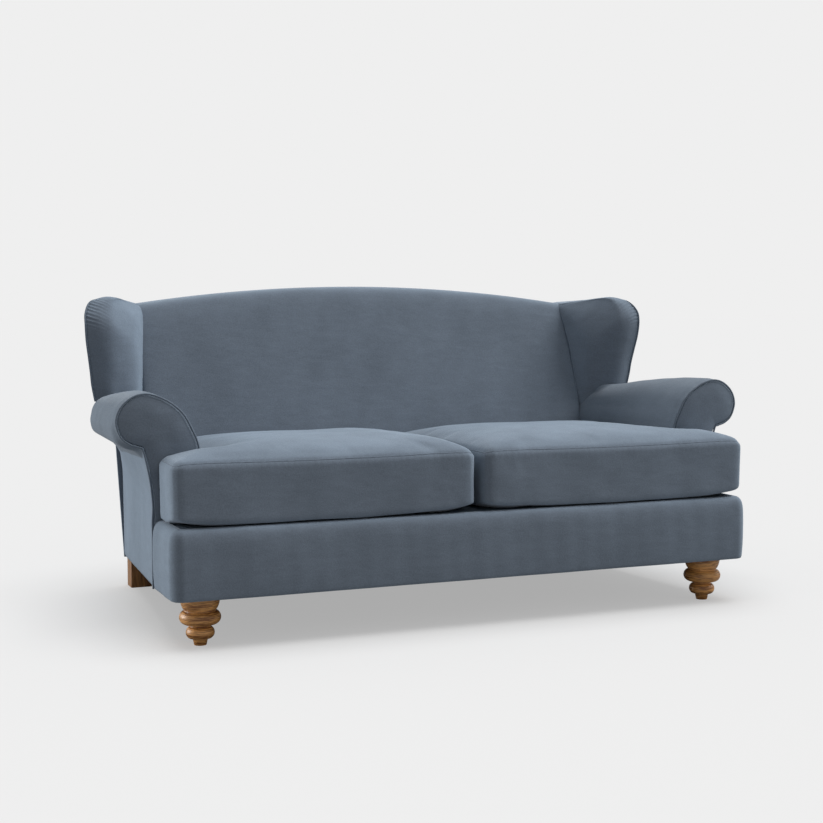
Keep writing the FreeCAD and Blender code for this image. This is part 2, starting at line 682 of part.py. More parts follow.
def deck():
    """Deck between the arms, from the front lip to the inside back."""
    rear = back_face(DECK_TOP) + BACK_PAD
    post, _ = back_posts()
    return box(-ARM_INNER, ARM_INNER, ARM_Y, rear, BORDER_TOP, DECK_TOP).cut(post).cut(mirrored(post))


def dust_cover():
    """Cloth across the underside."""
    front_half = BASE_HALF - COVER
    y0, y1 = FRONT_Y + COVER, REAR_Y - PANEL
    outline = [(-front_half, y0), (front_half, y0), (front_half, ARM_Y), (-front_half, ARM_Y)]
    front = plan_block(outline, under_z, rail_under)
    taper = [(side_x(ARM_Y) - COVER, ARM_Y), (side_x(y1) - COVER, y1)]
    outline = taper + [(-x, y) for x, y in reversed(taper)]
    rear = plan_block(outline, under_z, rail_under)
    cloth = front.fuse(rear)
    holes = [bolt_hole(FRONT_FOOT, FRONT_UNDER), bolt_hole(REAR_BOLT, REAR_UNDER)]
    for block in (front_block(), rear_block(), rear_rail(), *holes):
        cloth = cloth.cut(block).cut(mirrored(block))
    return cloth


def serpentine(x, y0, y1, z):
    """One sinuous spring from the front rail to the seat back rail."""
    bars = int(round((y1 - y0) / SPRING_PITCH)) + 1
    pitch, half = (y1 - y0) / (bars - 1), SPRING_BAR / 2
    edges = []
    for i in range(bars):
        y, way = y0 + i * pitch, 1 if i % 2 == 0 else -1
        edges.append(Part.LineSegment(Vec(x - way * half, y, z), Vec(x + way * half, y, z)).toShape())
        if i < bars - 1:
            edges.append(Part.Arc(Vec(x + way * half, y, z),
                                  Vec(x + way * (half + pitch / 2), y + pitch / 2, z),
                                  Vec(x + way * half, y + pitch, z)).toShape())
    circle = Part.Circle(Vec(x - half, y0, z), Vec(1, 0, 0), SPRING_WIRE).toShape()
    return Part.Wire(edges).makePipeShell([Part.Wire(circle)], True, False)


def spring_clip(x, y, z):
    """Folded clip that holds the end bar of a spring on its rail."""
    wall, room = 1.5, SPRING_WIRE + 0.3
    foot, roof = z - SPRING_WIRE - 2.0, z + room + wall
    back = y - room - wall
    profile = [(back, foot), (y + 8.0, foot), (y + 8.0, z - room), (y - room, z - room),
               (y - room, z + room), (y + 8.0, z + room), (y + 8.0, roof), (back, roof)]
    return prism_x(profile, x - 7.0, x + 7.0)


def make_seat():
    """Border, lip, deck, springs, clips and dust cover."""
    save("front_border", front_border())
    save("border_lip", border_lip())
    save("seat_deck", deck())
    save("dust_cover", dust_cover())
    z = RAIL_TOP + 2.0 + SPRING_WIRE
    front_y = FRONT_RAIL_Y - FRONT_RAIL / 2
    rear_y = seat_back_rail()[1] + RAIL / 2
    reach = ARM_INNER - SPRING_MARGIN
    places = [-reach + 2 * reach * i / (SPRING_COUNT - 1) for i in range(SPRING_COUNT)]
    save("seat_springs", *[serpentine(x, front_y, rear_y, z) for x in places])
    fronts = [spring_clip(x, front_y, z) for x in places]
    rears = [spring_clip(x, 0.0, z).mirror(Vec(0, 0, 0), Vec(0, 1, 0)) for x in places]
    for clip in rears:
        clip.translate(Vec(0, rear_y, 0))
    save("spring_clips", *fronts, *rears)


# ---- cushions ----------------------------------------------------------------------------

def cushion():
    """Right seat cushion: T-shaped, crowned, with a raked rear border."""
    low, high = DECK_TOP + CLEAR, CUSHION_CROWN + 10.0
    x0, x1 = CUSHION_GAP / 2, BASE_HALF
    seat_x, ear_y, rear_y = ARM_INNER - CUSHION_GAP, ARM_Y - CUSHION_GAP, DEPTH / 2
    corner = CUSHION_CORNER
    bow = corner * (1.0 - 0.5 ** 0.5)
    plan = path(
        (x0, rear_y), (x0, FRONT_Y + corner), ((x0 + bow, FRONT_Y + bow), (x0 + corner, FRONT_Y)),
        (x1 - corner, FRONT_Y), ((x1 - bow, FRONT_Y + bow), (x1, FRONT_Y + corner)),
        (x1, ear_y), (seat_x, ear_y), (seat_x, rear_y), (x0, rear_y),
        place=lambda x, y: Vec(x, y, low))
    tee = Part.Face(plan).extrude(Vec(0, 0, high - low))
    rear_low, rear_high = back_face(low) - CUSHION_BACK_GAP, back_face(CUSHION_SEAM) - CUSHION_BACK_GAP
    middle = (FRONT_Y + rear_high) / 2

    side = Part.Wire([
        Part.LineSegment(Vec(0, FRONT_Y, low), Vec(0, rear_low, low)).toShape(),
        Part.LineSegment(Vec(0, rear_low, low), Vec(0, rear_high, CUSHION_SEAM)).toShape(),
        Part.Arc(Vec(0, rear_high, CUSHION_SEAM), Vec(0, middle, CUSHION_CROWN),
                 Vec(0, FRONT_Y, CUSHION_SEAM)).toShape(),
        Part.LineSegment(Vec(0, FRONT_Y, CUSHION_SEAM), Vec(0, FRONT_Y, low)).toShape()])
    crown_y = Part.Face(side).extrude(Vec(WIDTH, 0, 0))
    front = path((x0, low), (x1, low), (x1, CUSHION_SEAM + 12.0),
                 (((x0 + x1) / 2, CUSHION_CROWN), (x0, CUSHION_SEAM + 12.0)), (x0, low))
    crown_x = prism_y(front, FRONT_Y - 1.0, DEPTH / 2)
    return tee.common(crown_y).common(crown_x)


def behind_cushion(z0, z1, near, far, x0, x1):
    """Strip that lies off the cushion's raked rear border."""
    near, far = near - CUSHION_BACK_GAP, far - CUSHION_BACK_GAP
    return prism_x(raked(z0, z1, near, far), x0, x1)


def make_cushions():
    """Cushions with a zip along the rear border and its slider."""
    save_pair("seat_cushion", cushion())
    middle = (CUSHION_GAP / 2 + ARM_INNER - CUSHION_GAP) / 2
    x0, x1 = middle - ZIP_LENGTH / 2, middle + ZIP_LENGTH / 2
    z0, z1 = ZIP_HEIGHT - ZIP_TAPE / 2, ZIP_HEIGHT + ZIP_TAPE / 2
    save_pair("cushion_zip", behind_cushion(z0, z1, 0.0, ZIP_THICKNESS, x0, x1))
    along, up, off = SLIDER
    near = ZIP_THICKNESS + CLEAR
    slider = behind_cushion(ZIP_HEIGHT - up / 2, ZIP_HEIGHT + up / 2, near, near + off,
                            x0 + 6.0, x0 + 6.0 + along)
    save_pair("zip_slider", slider)


def main():
    """Build every node."""
    os.makedirs("parts", exist_ok=True)
    make_feet()
    make_base_frame()
    make_back_frame()
    make_arms()
    make_back_upholstery()
    make_seat()
    make_cushions()


main()
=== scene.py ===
"""Looks of a two-seat sofa with scroll arms, padded wings and turned front feet.

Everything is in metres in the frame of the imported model: +Z up, the seat faces -Y. Each
sub-assembly is a class that takes its places from the frame, builds its meshes and dresses
them. The right-hand piece of a pair is built, and the left one is its mirror image.
"""
import json
import logging
from dataclasses import dataclass
from enum import Enum
from math import cos, pi, radians, sin

import bmesh
import bpy
import numpy as np
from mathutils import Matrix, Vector

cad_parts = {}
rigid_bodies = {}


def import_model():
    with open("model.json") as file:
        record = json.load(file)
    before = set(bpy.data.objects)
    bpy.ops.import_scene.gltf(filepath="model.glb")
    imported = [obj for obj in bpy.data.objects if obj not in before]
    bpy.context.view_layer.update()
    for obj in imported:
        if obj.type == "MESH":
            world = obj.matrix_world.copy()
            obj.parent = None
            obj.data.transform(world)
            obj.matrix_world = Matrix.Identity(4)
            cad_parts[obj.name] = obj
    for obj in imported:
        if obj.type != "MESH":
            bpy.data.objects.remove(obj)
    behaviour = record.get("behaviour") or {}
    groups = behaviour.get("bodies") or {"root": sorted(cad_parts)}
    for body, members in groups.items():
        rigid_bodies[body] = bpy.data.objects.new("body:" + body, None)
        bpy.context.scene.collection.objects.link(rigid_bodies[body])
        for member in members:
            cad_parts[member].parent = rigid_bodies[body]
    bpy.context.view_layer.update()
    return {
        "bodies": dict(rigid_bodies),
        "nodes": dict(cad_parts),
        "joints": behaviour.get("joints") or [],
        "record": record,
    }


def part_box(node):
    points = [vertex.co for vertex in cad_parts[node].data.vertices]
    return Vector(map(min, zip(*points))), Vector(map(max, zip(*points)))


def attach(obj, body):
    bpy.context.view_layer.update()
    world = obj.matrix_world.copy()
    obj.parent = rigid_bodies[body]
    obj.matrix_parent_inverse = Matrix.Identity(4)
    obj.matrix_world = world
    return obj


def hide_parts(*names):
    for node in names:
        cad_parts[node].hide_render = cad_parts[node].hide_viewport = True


log = logging.getLogger("sofa")

Array = np.ndarray
Object = bpy.types.Object
Material = bpy.types.Material
NodeTree = bpy.types.NodeTree
Socket = bpy.types.NodeSocket
Colour = tuple[float, float, float, float]


class Side(Enum):
    """The two ends of the sofa, as the viewer sees them."""

    LEFT = -1
    RIGHT = 1

    @property
    def word(self) -> str:
        """Name used in node and piece names."""
        return self.name.lower()


# ---- small numeric helpers ---------------------------------------------------------------


def smooth_step(value: Array | float, low: float, high: float) -> Array:
    """Ramp from 0 at low to 1 at high with level ends.

    Args:
        value: Where the ramp is read.
        low: Value at which the ramp starts.
        high: Value at which it is full.

    Returns:
        The ramp, as an array like value.
    """
    t = np.clip((np.asarray(value, float) - low) / (high - low), 0.0, 1.0)
    return t * t * (3.0 - 2.0 * t)


def spline(points: list[tuple[float, ...]] | Array, count: int, closed: bool = False) -> Array:
    """Evenly spaced points on a Catmull-Rom curve through a few chosen points.

    Args:
        points: The points that the curve passes through.
        count: How many points to return.
        closed: Whether the curve joins up with its start.

    Returns:
        Array of shape (count, dimensions).
    """
    p = np.asarray(points, float)
    ring = np.vstack([p[-1:], p, p[:2]]) if closed else np.vstack(
        [2 * p[:1] - p[1:2], p, 2 * p[-1:] - p[-2:-1]])
    spans = len(ring) - 3
    t = np.linspace(0.0, 1.0, 24, endpoint=False)[:, None]
    parts = []
    for a, b, c, d in (ring[i:i + 4] for i in range(spans)):
        parts.append(0.5 * (2 * b + (c - a) * t + (2 * a - 5 * b + 4 * c - d) * t ** 2
                            + (3 * b - a - 3 * c + d) * t ** 3))
    dense = np.vstack(parts + [ring[-2:-1]])
    return even(dense, count, endpoint=not closed)


def even(line: Array, count: int, endpoint: bool = True) -> Array:
    """Points evenly spaced along a polyline.

    Args:
        line: The polyline.
        count: How many points to return.
        endpoint: Whether the last point is included.

    Returns:
        Array of shape (count, dimensions).
    """
    steps = np.linalg.norm(np.diff(line, axis=0), axis=1)
    length = np.concatenate([[0.0], np.cumsum(steps)])
    places = np.linspace(0.0, length[-1], count, endpoint=endpoint)
    return np.stack([np.interp(places, length, line[:, k]) for k in range(line.shape[1])], axis=1)


def ripples(points: Array, scale: float, seed: int) -> Array:
    """Slow, smooth unevenness in the range -1 to 1.

    Args:
        points: Places, of shape (..., 3).
        scale: Length of the longest wave.
        seed: Chooses the pattern.

    Returns:
        One value for each place.
    """
    chance = np.random.default_rng(seed)
    total = np.zeros(points.shape[:-1])
    for octave in range(5):
        way = chance.normal(size=3)
        way *= 2 * pi / (scale * 0.75 ** octave * np.linalg.norm(way))
        total += 0.75 ** octave * np.sin(points @ way + chance.uniform(0, 2 * pi))
    return total / 2.2


# ---- mesh helpers ------------------------------------------------------------------------


def new_object(name: str, verts: Array, faces: list[tuple[int, ...]]) -> Object:
    """Link a smooth-shaded mesh object at the origin.

    Args:
        name: Name of the piece.
        verts: Vertex places, of shape (n, 3).
        faces: Vertex indices of each face.

    Returns:
        The object.
    """
    mesh = bpy.data.meshes.new(name)
    mesh.from_pydata([tuple(v) for v in verts], [], faces)
    mesh.validate()
    mesh.polygons.foreach_set("use_smooth", [True] * len(mesh.polygons))
    obj = bpy.data.objects.new(name, mesh)
    bpy.context.scene.collection.objects.link(obj)
    return obj


def outward(obj: Object) -> Object:
    """Merge doubles and point every face outwards."""
    bm = bmesh.new()
    bm.from_mesh(obj.data)
    bmesh.ops.remove_doubles(bm, verts=bm.verts, dist=1e-6)
    bmesh.ops.recalc_face_normals(bm, faces=bm.faces)
    bm.to_mesh(obj.data)
    bm.free()
    return obj


def tube_of_rings(name: str, rings: Array) -> Object:
    """Closed solid through a stack of closed rings, with flat ends.

    Args:
        name: Name of the piece.
        rings: Places, of shape (sections, points in a ring, 3).

    Returns:
        The object.
    """
    sections, count = rings.shape[:2]
    faces = []
    for i in range(sections - 1):
        for j in range(count):
            k = (j + 1) % count
            faces.append((i * count + j, i * count + k, (i + 1) * count + k, (i + 1) * count + j))
    faces.append(tuple(range(count)))
    faces.append(tuple((sections - 1) * count + j for j in reversed(range(count))))
    return outward(new_object(name, rings.reshape(-1, 3), faces))


def slab(name: str, face: Array, back: Array) -> Object:
    """Closed panel between a visible grid and a grid behind it.

    Args:
        name: Name of the piece.
        face: Visible side, of shape (rows, columns, 3).
        back: Hidden side, of the same shape.

    Returns:
        The object.
    """
    rows, cols = face.shape[:2]
    size = rows * cols
    faces = []
    for i in range(rows - 1):
        for j in range(cols - 1):
            a, b = i * cols + j, i * cols + j + 1
            c, d = b + cols, a + cols
            faces.append((a, b, c, d))
            faces.append((size + d, size + c, size + b, size + a))
    rim = ([(0, j) for j in range(cols)] + [(i, cols - 1) for i in range(1, rows)]
           + [(rows - 1, j) for j in range(cols - 2, -1, -1)]
           + [(i, 0) for i in range(rows - 2, 0, -1)])
    order = [i * cols + j for i, j in rim]
    for a, b in zip(order, order[1:] + order[:1]):
        faces.append((b, a, size + a, size + b))
    return outward(new_object(name, np.concatenate([face, back]).reshape(-1, 3), faces))


def mirrored(obj: Object, name: str) -> Object:
    """Mirror image of a piece for the other end of the sofa.

    Args:
        obj: The right-hand piece.
        name: Name of the copy.

    Returns:
        The copy, with its faces pointing outwards.
    """
    mesh = obj.data.copy()
    mesh.name = name
    places = np.empty(len(mesh.vertices) * 3, np.float32)
    mesh.vertices.foreach_get("co", places)
    places[0::3] *= -1.0
    mesh.vertices.foreach_set("co", places)
    mesh.flip_normals()
    copy = bpy.data.objects.new(name, mesh)
    bpy.context.scene.collection.objects.link(copy)
    return copy


def settle(obj: Object, body: str, slot: str, material: Material, *nodes: str,
           fill: float | None = None) -> Object:
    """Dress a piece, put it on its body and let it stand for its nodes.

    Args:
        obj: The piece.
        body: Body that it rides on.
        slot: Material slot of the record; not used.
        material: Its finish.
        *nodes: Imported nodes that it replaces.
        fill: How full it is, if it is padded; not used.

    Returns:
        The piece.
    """
    obj.data.materials.clear()
    obj.data.materials.append(material)
    if nodes:
        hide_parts(*nodes)
    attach(obj, body)
    log.info("%s: %d vertices on %s", obj.name, len(obj.data.vertices), body)
    return obj


# ---- geometry nodes ----------------------------------------------------------------------


class GeometryTree:
    """A geometry node tree with named inputs, baked to a plain mesh when it is used."""

    def __init__(self, name: str, inputs: dict[str, tuple[str, float | None]]) -> None:
        """Make the tree.

        Args:
            name: Name of the tree.
            inputs: Socket type and default of each named input.
        """
        self.tree = bpy.data.node_groups.new(name, "GeometryNodeTree")
        face = self.tree.interface
        face.new_socket("Geometry", in_out="INPUT", socket_type="NodeSocketGeometry")
        face.new_socket("Geometry", in_out="OUTPUT", socket_type="NodeSocketGeometry")
        self.ids: dict[str, str] = {}
        for label, (kind, default) in inputs.items():
            socket = face.new_socket(label, in_out="INPUT", socket_type=kind)
            if default is not None:
                socket.default_value = default
            self.ids[label] = socket.identifier
        self.source = self.tree.nodes.new("NodeGroupInput")
        self.sink = self.tree.nodes.new("NodeGroupOutput")

    def node(self, kind: str, **values: object) -> bpy.types.Node:
        """Add a node and set its plain attributes.

        Args:
            kind: Node type.
            **values: Attributes to set.

        Returns:
            The node.
        """
        made = self.tree.nodes.new(kind)
        for key, value in values.items():
            setattr(made, key, value)
        return made

    def link(self, out: Socket, into: Socket) -> None:
        """Join two sockets."""
        self.tree.links.new(out, into)

    def bake(self, obj: Object, name: str, **values: object) -> Object:
        """Run the tree on an object and keep the plain mesh.

        Args:
            obj: The object that the tree reads; it is removed afterwards.
            name: Name of the result.
            **values: Named inputs, with underscores for spaces.

        Returns:
            The new object.
        """
        modifier = obj.modifiers.new("rule", "NODES")
        modifier.node_group = self.tree
        for label, value in values.items():
            modifier[self.ids[label.replace("_", " ")]] = value
        graph = bpy.context.evaluated_depsgraph_get()
        mesh = bpy.data.meshes.new_from_object(obj.evaluated_get(graph))
        mesh.name = name
        mesh.polygons.foreach_set("use_smooth", [True] * len(mesh.polygons))
        bpy.data.objects.remove(obj)
        made = bpy.data.objects.new(name, mesh)
        bpy.context.scene.collection.objects.link(made)
        return made


def path_object(points: Array, closed: bool = False) -> Object:
    """Curve object through points, with no thickness."""
    data = bpy.data.curves.new("path", "CURVE")
    data.dimensions = "3D"
    line = data.splines.new("POLY")
    line.points.add(len(points) - 1)
    line.points.foreach_set("co", np.hstack([points, np.ones((len(points), 1))]).ravel())
    line.use_cyclic_u = closed
    obj = bpy.data.objects.new("path", data)
    bpy.context.scene.collection.objects.link(obj)
    return obj


def piping_tree() -> GeometryTree:
    """Round covered cord along a path."""
    tree = GeometryTree("covered cord", {"Radius": ("NodeSocketFloat", 0.004),
                                         "Finish": ("NodeSocketMaterial", None)})
    ring = tree.node("GeometryNodeCurvePrimitiveCircle", mode="RADIUS")
    ring.inputs["Resolution"].default_value = 14
    sweep = tree.node("GeometryNodeCurveToMesh")
    sweep.inputs["Fill Caps"].default_value = True
    real = tree.node("GeometryNodeRealizeInstances")
    paint = tree.node("GeometryNodeSetMaterial")
    tree.link(tree.source.outputs["Radius"], ring.inputs["Radius"])
    tree.link(tree.source.outputs["Geometry"], sweep.inputs["Curve"])
    tree.link(ring.outputs["Curve"], sweep.inputs["Profile Curve"])
    tree.link(sweep.outputs["Mesh"], real.inputs["Geometry"])
    tree.link(real.outputs["Geometry"], paint.inputs["Geometry"])
    tree.link(tree.source.outputs["Finish"], paint.inputs["Material"])
    tree.link(paint.outputs["Geometry"], tree.sink.inputs["Geometry"])
    return tree


def row_tree() -> GeometryTree:
    """Row of small blocks along a path, for zip teeth and for staples."""
    tree = GeometryTree("row along path", {
        "Pitch": ("NodeSocketFloat", 0.003), "Length": ("NodeSocketFloat", 0.002),
        "Width": ("NodeSocketFloat", 0.001), "Height": ("NodeSocketFloat", 0.001),
        "Finish": ("NodeSocketMaterial", None)})
    spots = tree.node("GeometryNodeCurveToPoints", mode="LENGTH")
    size = tree.node("ShaderNodeCombineXYZ")
    block = tree.node("GeometryNodeMeshCube")
    place = tree.node("GeometryNodeInstanceOnPoints")
    real = tree.node("GeometryNodeRealizeInstances")
    paint = tree.node("GeometryNodeSetMaterial")
    tree.link(tree.source.outputs["Geometry"], spots.inputs["Curve"])
    tree.link(tree.source.outputs["Pitch"], spots.inputs["Length"])
    for label, axis in (("Length", "Z"), ("Width", "X"), ("Height", "Y")):
        tree.link(tree.source.outputs[label], size.inputs[axis])
    tree.link(size.outputs["Vector"], block.inputs["Size"])
    tree.link(spots.outputs["Points"], place.inputs["Points"])
    tree.link(block.outputs["Mesh"], place.inputs["Instance"])
    tree.link(spots.outputs["Rotation"], place.inputs["Rotation"])
    tree.link(place.outputs["Instances"], real.inputs["Geometry"])
    tree.link(real.outputs["Geometry"], paint.inputs["Geometry"])
    tree.link(tree.source.outputs["Finish"], paint.inputs["Material"])
    tree.link(paint.outputs["Geometry"], tree.sink.inputs["Geometry"])
    return tree


# ---- finishes ----------------------------------------------------------------------------


class ShaderGroup:
    """Shared shader effect with named inputs and outputs."""

    def __init__(self, name: str, inputs: dict[str, tuple[str, object]],
                 outputs: dict[str, str]) -> None:
        """Make the group.

        Args:
            name: Name of the group.
            inputs: Socket type and default of each input.
            outputs: Socket type of each output.
        """
        self.tree = bpy.data.node_groups.new(name, "ShaderNodeTree")
        for label, (kind, default) in inputs.items():
            made = self.tree.interface.new_socket(label, in_out="INPUT", socket_type=kind)
            made.default_value = default
        for label, kind in outputs.items():
            self.tree.interface.new_socket(label, in_out="OUTPUT", socket_type=kind)
        self.source = self.tree.nodes.new("NodeGroupInput")
        self.sink = self.tree.nodes.new("NodeGroupOutput")

    def node(self, kind: str, **values: object) -> bpy.types.Node:
        """Add a node and set its plain attributes."""
        made = self.tree.nodes.new(kind)
        for key, value in values.items():
            setattr(made, key, value)
        return made

    def link(self, out: Socket, into: Socket) -> None:
        """Join two sockets."""
        self.tree.links.new(out, into)


def noise(owner: ShaderGroup, scale: float, detail: float,
          stretch: tuple[float, float, float] | Socket) -> Socket:
    """Noise on Object coordinates, stretched along the axes.

    Args:
        owner: Group that gets the nodes.
        scale: Scale of the noise.
        detail: Octaves.
        stretch: Scale of each axis before the noise, or the socket that gives it.

    Returns:
        The noise value.
    """
    where = owner.node("ShaderNodeTexCoord")
    turn = owner.node("ShaderNodeMapping")
    if isinstance(stretch, tuple):
        turn.inputs["Scale"].default_value = stretch
    else:
        owner.link(stretch, turn.inputs["Scale"])
    made = owner.node("ShaderNodeTexNoise")
    made.inputs["Scale"].default_value = scale
    made.inputs["Detail"].default_value = detail
    owner.link(where.outputs["Object"], turn.inputs["Vector"])
    owner.link(turn.outputs["Vector"], made.inputs["Vector"])
    return made.outputs["Fac"]


def nap_group() -> ShaderGroup:
    """Brushed pile: cloudy patches, faint brush lines and a fine grain."""
    group = ShaderGroup("brushed pile", {
        "Colour": ("NodeSocketColor", (0.2, 0.25, 0.3, 1.0)),
        "Cloud": ("NodeSocketFloat", 0.10), "Brush": ("NodeSocketFloat", 0.05),
        "Fleck": ("NodeSocketFloat", 0.42)},
        {"Colour": "NodeSocketColor", "Grain": "NodeSocketFloat"})
    cloud = noise(group, 6.0, 5.0, (1.3, 1.3, 0.7))
    brush = noise(group, 30.0, 4.0, (0.6, 0.6, 1.6))
    fleck = noise(group, 260.0, 3.0, (1.0, 1.0, 1.0))
    fine = noise(group, 900.0, 2.0, (1.0, 1.0, 1.0))
    shade: Socket | None = None
    for value, label in ((cloud, "Cloud"), (brush, "Brush"), (fleck, "Fleck")):
        centred = group.node("ShaderNodeMath", operation="SUBTRACT")
        centred.inputs[1].default_value = 0.5
        scaled = group.node("ShaderNodeMath", operation="MULTIPLY")
        group.link(value, centred.inputs[0])
        group.link(centred.outputs[0], scaled.inputs[0])
        group.link(group.source.outputs[label], scaled.inputs[1])
        if shade is None:
            shade = scaled.outputs[0]
            continue
        both = group.node("ShaderNodeMath", operation="ADD")
        group.link(shade, both.inputs[0])
        group.link(scaled.outputs[0], both.inputs[1])
        shade = both.outputs[0]
    level = group.node("ShaderNodeMath", operation="ADD")
    level.inputs[1].default_value = 1.0
    group.link(shade, level.inputs[0])
    tint = group.node("ShaderNodeVectorMath", operation="SCALE")
    group.link(group.source.outputs["Colour"], tint.inputs[0])
    group.link(level.outputs[0], tint.inputs["Scale"])
    group.link(tint.outputs["Vector"], group.sink.inputs["Colour"])
    height = group.node("ShaderNodeMath", operation="MULTIPLY_ADD")
    height.inputs[1].default_value = 0.35
    group.link(fine, height.inputs[0])
    group.link(brush, height.inputs[2])
    group.link(height.outputs[0], group.sink.inputs["Grain"])
    return group


def weave_group() -> ShaderGroup:
    """Crossed threads for linings, tapes and webbing."""
    group = ShaderGroup("crossed threads", {
        "Colour": ("NodeSocketColor", (0.2, 0.2, 0.2, 1.0)),
        "Pitch": ("NodeSocketFloat", 400.0)},
        {"Colour": "NodeSocketColor", "Height": "NodeSocketFloat"})
    where = group.node("ShaderNodeTexCoord")
    split = group.node("ShaderNodeSeparateXYZ")
    group.link(where.outputs["Object"], split.inputs[0])
    waves = []
    for axis in ("X", "Y", "Z"):
        scaled = group.node("ShaderNodeMath", operation="MULTIPLY")
        wave = group.node("ShaderNodeMath", operation="SINE")
        group.link(split.outputs[axis], scaled.inputs[0])
        group.link(group.source.outputs["Pitch"], scaled.inputs[1])
        group.link(scaled.outputs[0], wave.inputs[0])
        waves.append(wave.outputs[0])
    first = group.node("ShaderNodeMath", operation="MULTIPLY")
    group.link(waves[0], first.inputs[0])
    group.link(waves[1], first.inputs[1])
    total = group.node("ShaderNodeMath", operation="ADD")
    group.link(first.outputs[0], total.inputs[0])
    group.link(waves[2], total.inputs[1])
    soft = group.node("ShaderNodeMapRange")
    soft.inputs["From Min"].default_value = -2.0
    soft.inputs["From Max"].default_value = 2.0
    soft.inputs["To Min"].default_value = 0.82
    soft.inputs["To Max"].default_value = 1.12
    group.link(total.outputs[0], soft.inputs["Value"])
    tint = group.node("ShaderNodeVectorMath", operation="SCALE")
    group.link(group.source.outputs["Colour"], tint.inputs[0])
    group.link(soft.outputs["Result"], tint.inputs["Scale"])
    group.link(tint.outputs["Vector"], group.sink.inputs["Colour"])
    group.link(total.outputs[0], group.sink.inputs["Height"])
    return group


def tool_lines(group: ShaderGroup) -> Socket:
    """Thin dark rings every few millimetres up the piece, painted shade for the grooves between
    turnings.

    Args:
        group: Group that gets the nodes; its Rings input is their depth.

    Returns:
        How dark the ring is at each height.
    """
    where = group.node("ShaderNodeTexCoord")
    split = group.node("ShaderNodeSeparateXYZ")
    group.link(where.outputs["Object"], split.inputs[0])
    value = split.outputs["Z"]
    for operation, second in (("MULTIPLY", 1480.0), ("SINE", 0.0), ("MAXIMUM", 0.0),
                              ("POWER", 5.0)):
        step = group.node("ShaderNodeMath", operation=operation)
        step.inputs[1].default_value = second
        group.link(value, step.inputs[0])
        value = step.outputs[0]
    depth = group.node("ShaderNodeMath", operation="MULTIPLY")
    group.link(value, depth.inputs[0])
    group.link(group.source.outputs["Rings"], depth.inputs[1])
    return depth.outputs[0]


def grain_group() -> ShaderGroup:
    """Wood grain: long fibres, slow bands and small pores, with thin dark rings of painted shade.
    """
    group = ShaderGroup("wood grain", {
        "Light": ("NodeSocketColor", (0.5, 0.3, 0.13, 1.0)),
        "Dark": ("NodeSocketColor", (0.2, 0.1, 0.04, 1.0)),
        "Grain": ("NodeSocketVector", (4.0, 4.0, 0.35)),
        "Rings": ("NodeSocketFloat", 0.0)},
        {"Colour": "NodeSocketColor", "Height": "NodeSocketFloat"})
    fibre = noise(group, 60.0, 6.0, group.source.outputs["Grain"])
    band = noise(group, 14.0, 3.0, group.source.outputs["Grain"])
    both = group.node("ShaderNodeMath", operation="MULTIPLY_ADD")
    both.inputs[1].default_value = 0.45
    group.link(fibre, both.inputs[0])
    half = group.node("ShaderNodeMath", operation="MULTIPLY")
    half.inputs[1].default_value = 0.55
    group.link(band, half.inputs[0])
    group.link(half.outputs[0], both.inputs[2])
    spread = group.node("ShaderNodeMapRange")
    spread.inputs["From Min"].default_value = 0.41
    spread.inputs["From Max"].default_value = 0.57
    group.link(both.outputs[0], spread.inputs["Value"])
    # Thin dark rings of painted shade, taken out of the light grain colour.
    lines = tool_lines(group)
    cut = group.node("ShaderNodeMath", operation="SUBTRACT", use_clamp=True)
    group.link(spread.outputs["Result"], cut.inputs[0])
    group.link(lines, cut.inputs[1])
    mix = group.node("ShaderNodeMix", data_type="RGBA")
    group.link(cut.outputs[0], mix.inputs["Factor"])
    group.link(group.source.outputs["Dark"], mix.inputs[6])
    group.link(group.source.outputs["Light"], mix.inputs[7])
    group.link(mix.outputs[2], group.sink.inputs["Colour"])
    group.link(both.outputs[0], group.sink.inputs["Height"])
    return group


def shared(name: str) -> NodeTree:
    """The shared shader group of that name, built on first use."""
    makers = {"brushed pile": nap_group, "crossed threads": weave_group, "wood grain": grain_group}
    found = bpy.data.node_groups.get(name)
    return found if found else makers[name]().tree


@dataclass(frozen=True)
class Finish:
    """A surface finish.

    Attributes:
        name: Name of the material.
        colour: Linear base colour.
        roughness: Principled roughness.
    """

    name: str
    colour: Colour
    roughness: float

    def start(self) -> tuple[Material, bpy.types.Node, NodeTree]:
        """Make the material with its plain values set."""
        made = bpy.data.materials.new(self.name)
        made.use_nodes = True
        shader = made.node_tree.nodes["Principled BSDF"]
        shader.inputs["Base Color"].default_value = self.colour
        shader.inputs["Roughness"].default_value = self.roughness
        return made, shader, made.node_tree

    def group(self, tree: NodeTree, name: str, **values: object) -> bpy.types.Node:
        """Place a shared group in the material.

        Args:
            tree: The material's tree.
            name: Name of the shared group.
            **values: Inputs of the group.

        Returns:
            The group node.
        """
        node = tree.nodes.new("ShaderNodeGroup")
        node.node_tree = shared(name)
        for label, value in values.items():
            node.inputs[label].default_value = value
        return node

    def bump(self, tree: NodeTree, height: Socket, shader: bpy.types.Node,
             strength: float, distance: float) -> None:
        """Drive the shader's normal from a height."""
        node = tree.nodes.new("ShaderNodeBump")
        node.inputs["Strength"].default_value = strength
        node.inputs["Distance"].default_value = distance
        tree.links.new(height, node.inputs["Height"])
        tree.links.new(node.outputs["Normal"], shader.inputs["Normal"])


